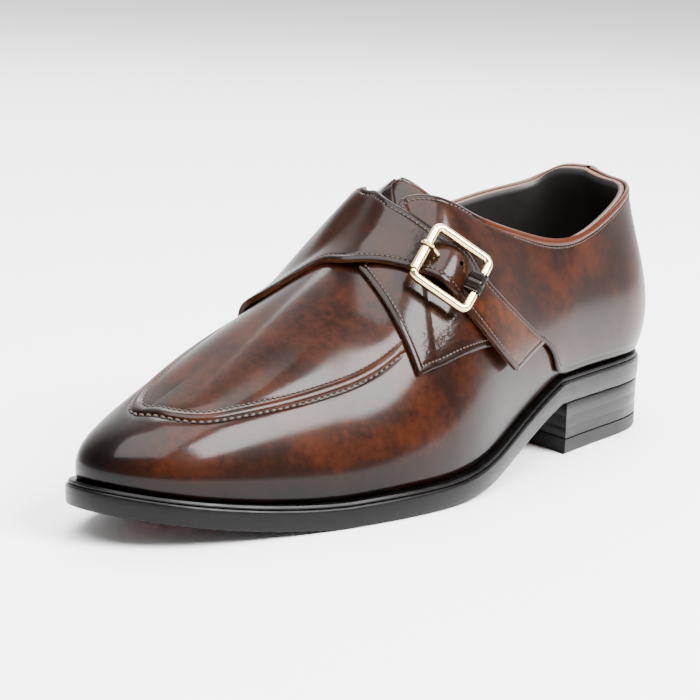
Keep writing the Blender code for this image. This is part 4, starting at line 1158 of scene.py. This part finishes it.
prong_round = CORE + GAP + PRONG / 2
line = [(-HALF_WIDTH - prong_round * math.cos(a), PRONG_SIDE, prong_round * math.sin(a))
        for a in np.radians(np.arange(0, 151, 10))]
line += [(-HALF_WIDTH + PRONG_REACH * x, PRONG_SIDE, -PRONG_DROP * z)
         for x, z in ((0.60, -0.05), (0.75, 0.02), (0.90, 0.18), (1.0, 0.45), (1.0, 1.0))]
bm = bmesh.new()
wire(bm, line, PRONG / 2)
in_buckle(add_piece("buckle_prong_brass", bm, [brass], ["buckle_prong"]))


# Buckle's leather
# A soft dark leather loop is wrapped round the back bar, gathered into small folds, and holds
# the buckle to the quarter.

CHAPE = 1.0 * MM             # thickness of the loop
loop_leather = calf("creased dark loop leather", "030100", "0b0401", "1c0c04")
chape_round = CORE + GAP + CHAPE
outline = [(-2.0 * chape_round, -0.25 * chape_round), (-2.0 * chape_round, 0.25 * chape_round)]
outline += [(chape_round * math.sin(a), chape_round * math.cos(a))
            for a in np.radians(np.arange(-20, 201, 10))]
bm = bmesh.new()
loops = []
bar_low, bar_high = (y * BUCKLE_HEIGHT for y in BACK_BAR)
for k, y in enumerate(np.linspace(bar_low + GAP, bar_high - GAP, 25)):
    crease = 0.97 - 0.10 * abs(math.sin(1.3 * k)) - 0.05 * math.cos(3.1 * k)
    loops.append([(HALF_WIDTH + x * crease, y, z * crease) for x, z in outline])
stack(bm, loops, caps=True)
in_buckle(add_piece("buckle_chape_leather", bm, [loop_leather], ["buckle_chape"]))


# Studio
# A white paper floor, a softbox on the shoe's outer side, a large one overhead and one behind,
# a pale surround that darkens towards the camera, and the camera at the photograph's place.

FLOOR = 60.0                 # half its width
SHOE_MIDDLE = Vector((0.10, 0.0, 0.05))
paper, tree, shader, place = new_material("matt white paper")
shade = add_node(tree, "TexNoise", {"Vector": place, "Scale": 2.0, "Detail": 2.0})
connect(tree, shader, {
    "Base Color": add_node(tree, "ValToRGB", {"Fac": shade}, stops=[(0.0, "fafafa"), (1.0, "fdfdfd")]),
    "Roughness": 0.85})
bm = bmesh.new()
bmesh.ops.create_grid(bm, x_segments=2, y_segments=2, size=FLOOR)
floor = add_object("floor", mesh_of("floor", bm))
floor.data.materials.append(paper)


def softbox(name, azimuth, elevation, distance, size, power):
    """Rectangular light aimed at the shoe from a direction in degrees, with power in watts."""
    lamp = bpy.data.lights.new(name, "AREA")
    lamp.shape = "RECTANGLE"
    lamp.size, lamp.size_y = size
    lamp.energy = power
    made = add_object(name, lamp)
    turn, lift = math.radians(azimuth), math.radians(elevation)
    towards = Vector((math.cos(turn) * math.cos(lift), math.sin(turn) * math.cos(lift), math.sin(lift)))
    made.location = SHOE_MIDDLE + towards * distance
    made.rotation_euler = (-towards).to_track_quat("-Z", "Y").to_euler()


softbox("side_softbox", 98, 42, 1.6, (0.90, 0.72), 105)
softbox("top_softbox", 20, 74, 5.4, (5.0, 4.8), 900)
softbox("back_softbox", 215, 50, 3.0, (1.6, 1.2), 90)
world = bpy.data.worlds.new("studio")
bpy.context.scene.world = world
world.use_nodes = True
tree = world.node_tree
direction = add_node(tree, "TexCoord", {}, 0)
behind = add_node(tree, "VectorMath", {0: direction, 1: (-0.80, -0.58, 0.0)}, 1, operation="DOT_PRODUCT")
bright = add_node(tree, "MapRange", {"Value": behind, "From Min": 0.3, "From Max": 0.95,
                                     "To Min": 0.5, "To Max": 4.0})
connect(tree, tree.nodes["Background"], {"Color": (1.0, 1.0, 1.0, 1.0), "Strength": bright})

# The photograph's own view, fitted to it: focal length in its pixels, then the directions to
# its right, down and into it. The aim turns from its middle to the one shoe that is built
PICTURE = 700                # pixels
FOCAL = 1624.74
AIM = (54.0, 128.0)          # pixels right of and below the photograph's middle
CLOSER = 1.24                # longer lens, so that the shoe fills the picture
right = Vector((-0.6359927, 0.77134669, 0.02318547))
down = Vector((0.07217225, 0.0893671, -0.99338043))
forward = Vector((-0.76831273, -0.63010936, -0.11250665))
forward = (forward + right * AIM[0] / FOCAL + down * AIM[1] / FOCAL).normalized()
right = (right - right.dot(forward) * forward).normalized()
down = forward.cross(right)
lens = bpy.data.cameras.new("camera")
lens.sensor_width = 36
lens.lens = FOCAL * CLOSER / PICTURE * lens.sensor_width
camera = add_object("camera", lens)
camera.location = (0.713879 - HEEL_CENTRE, 0.417395, 0.178487)
camera.rotation_euler = Matrix((right, -down, -forward)).transposed().to_euler()
bpy.context.scene.camera = camera
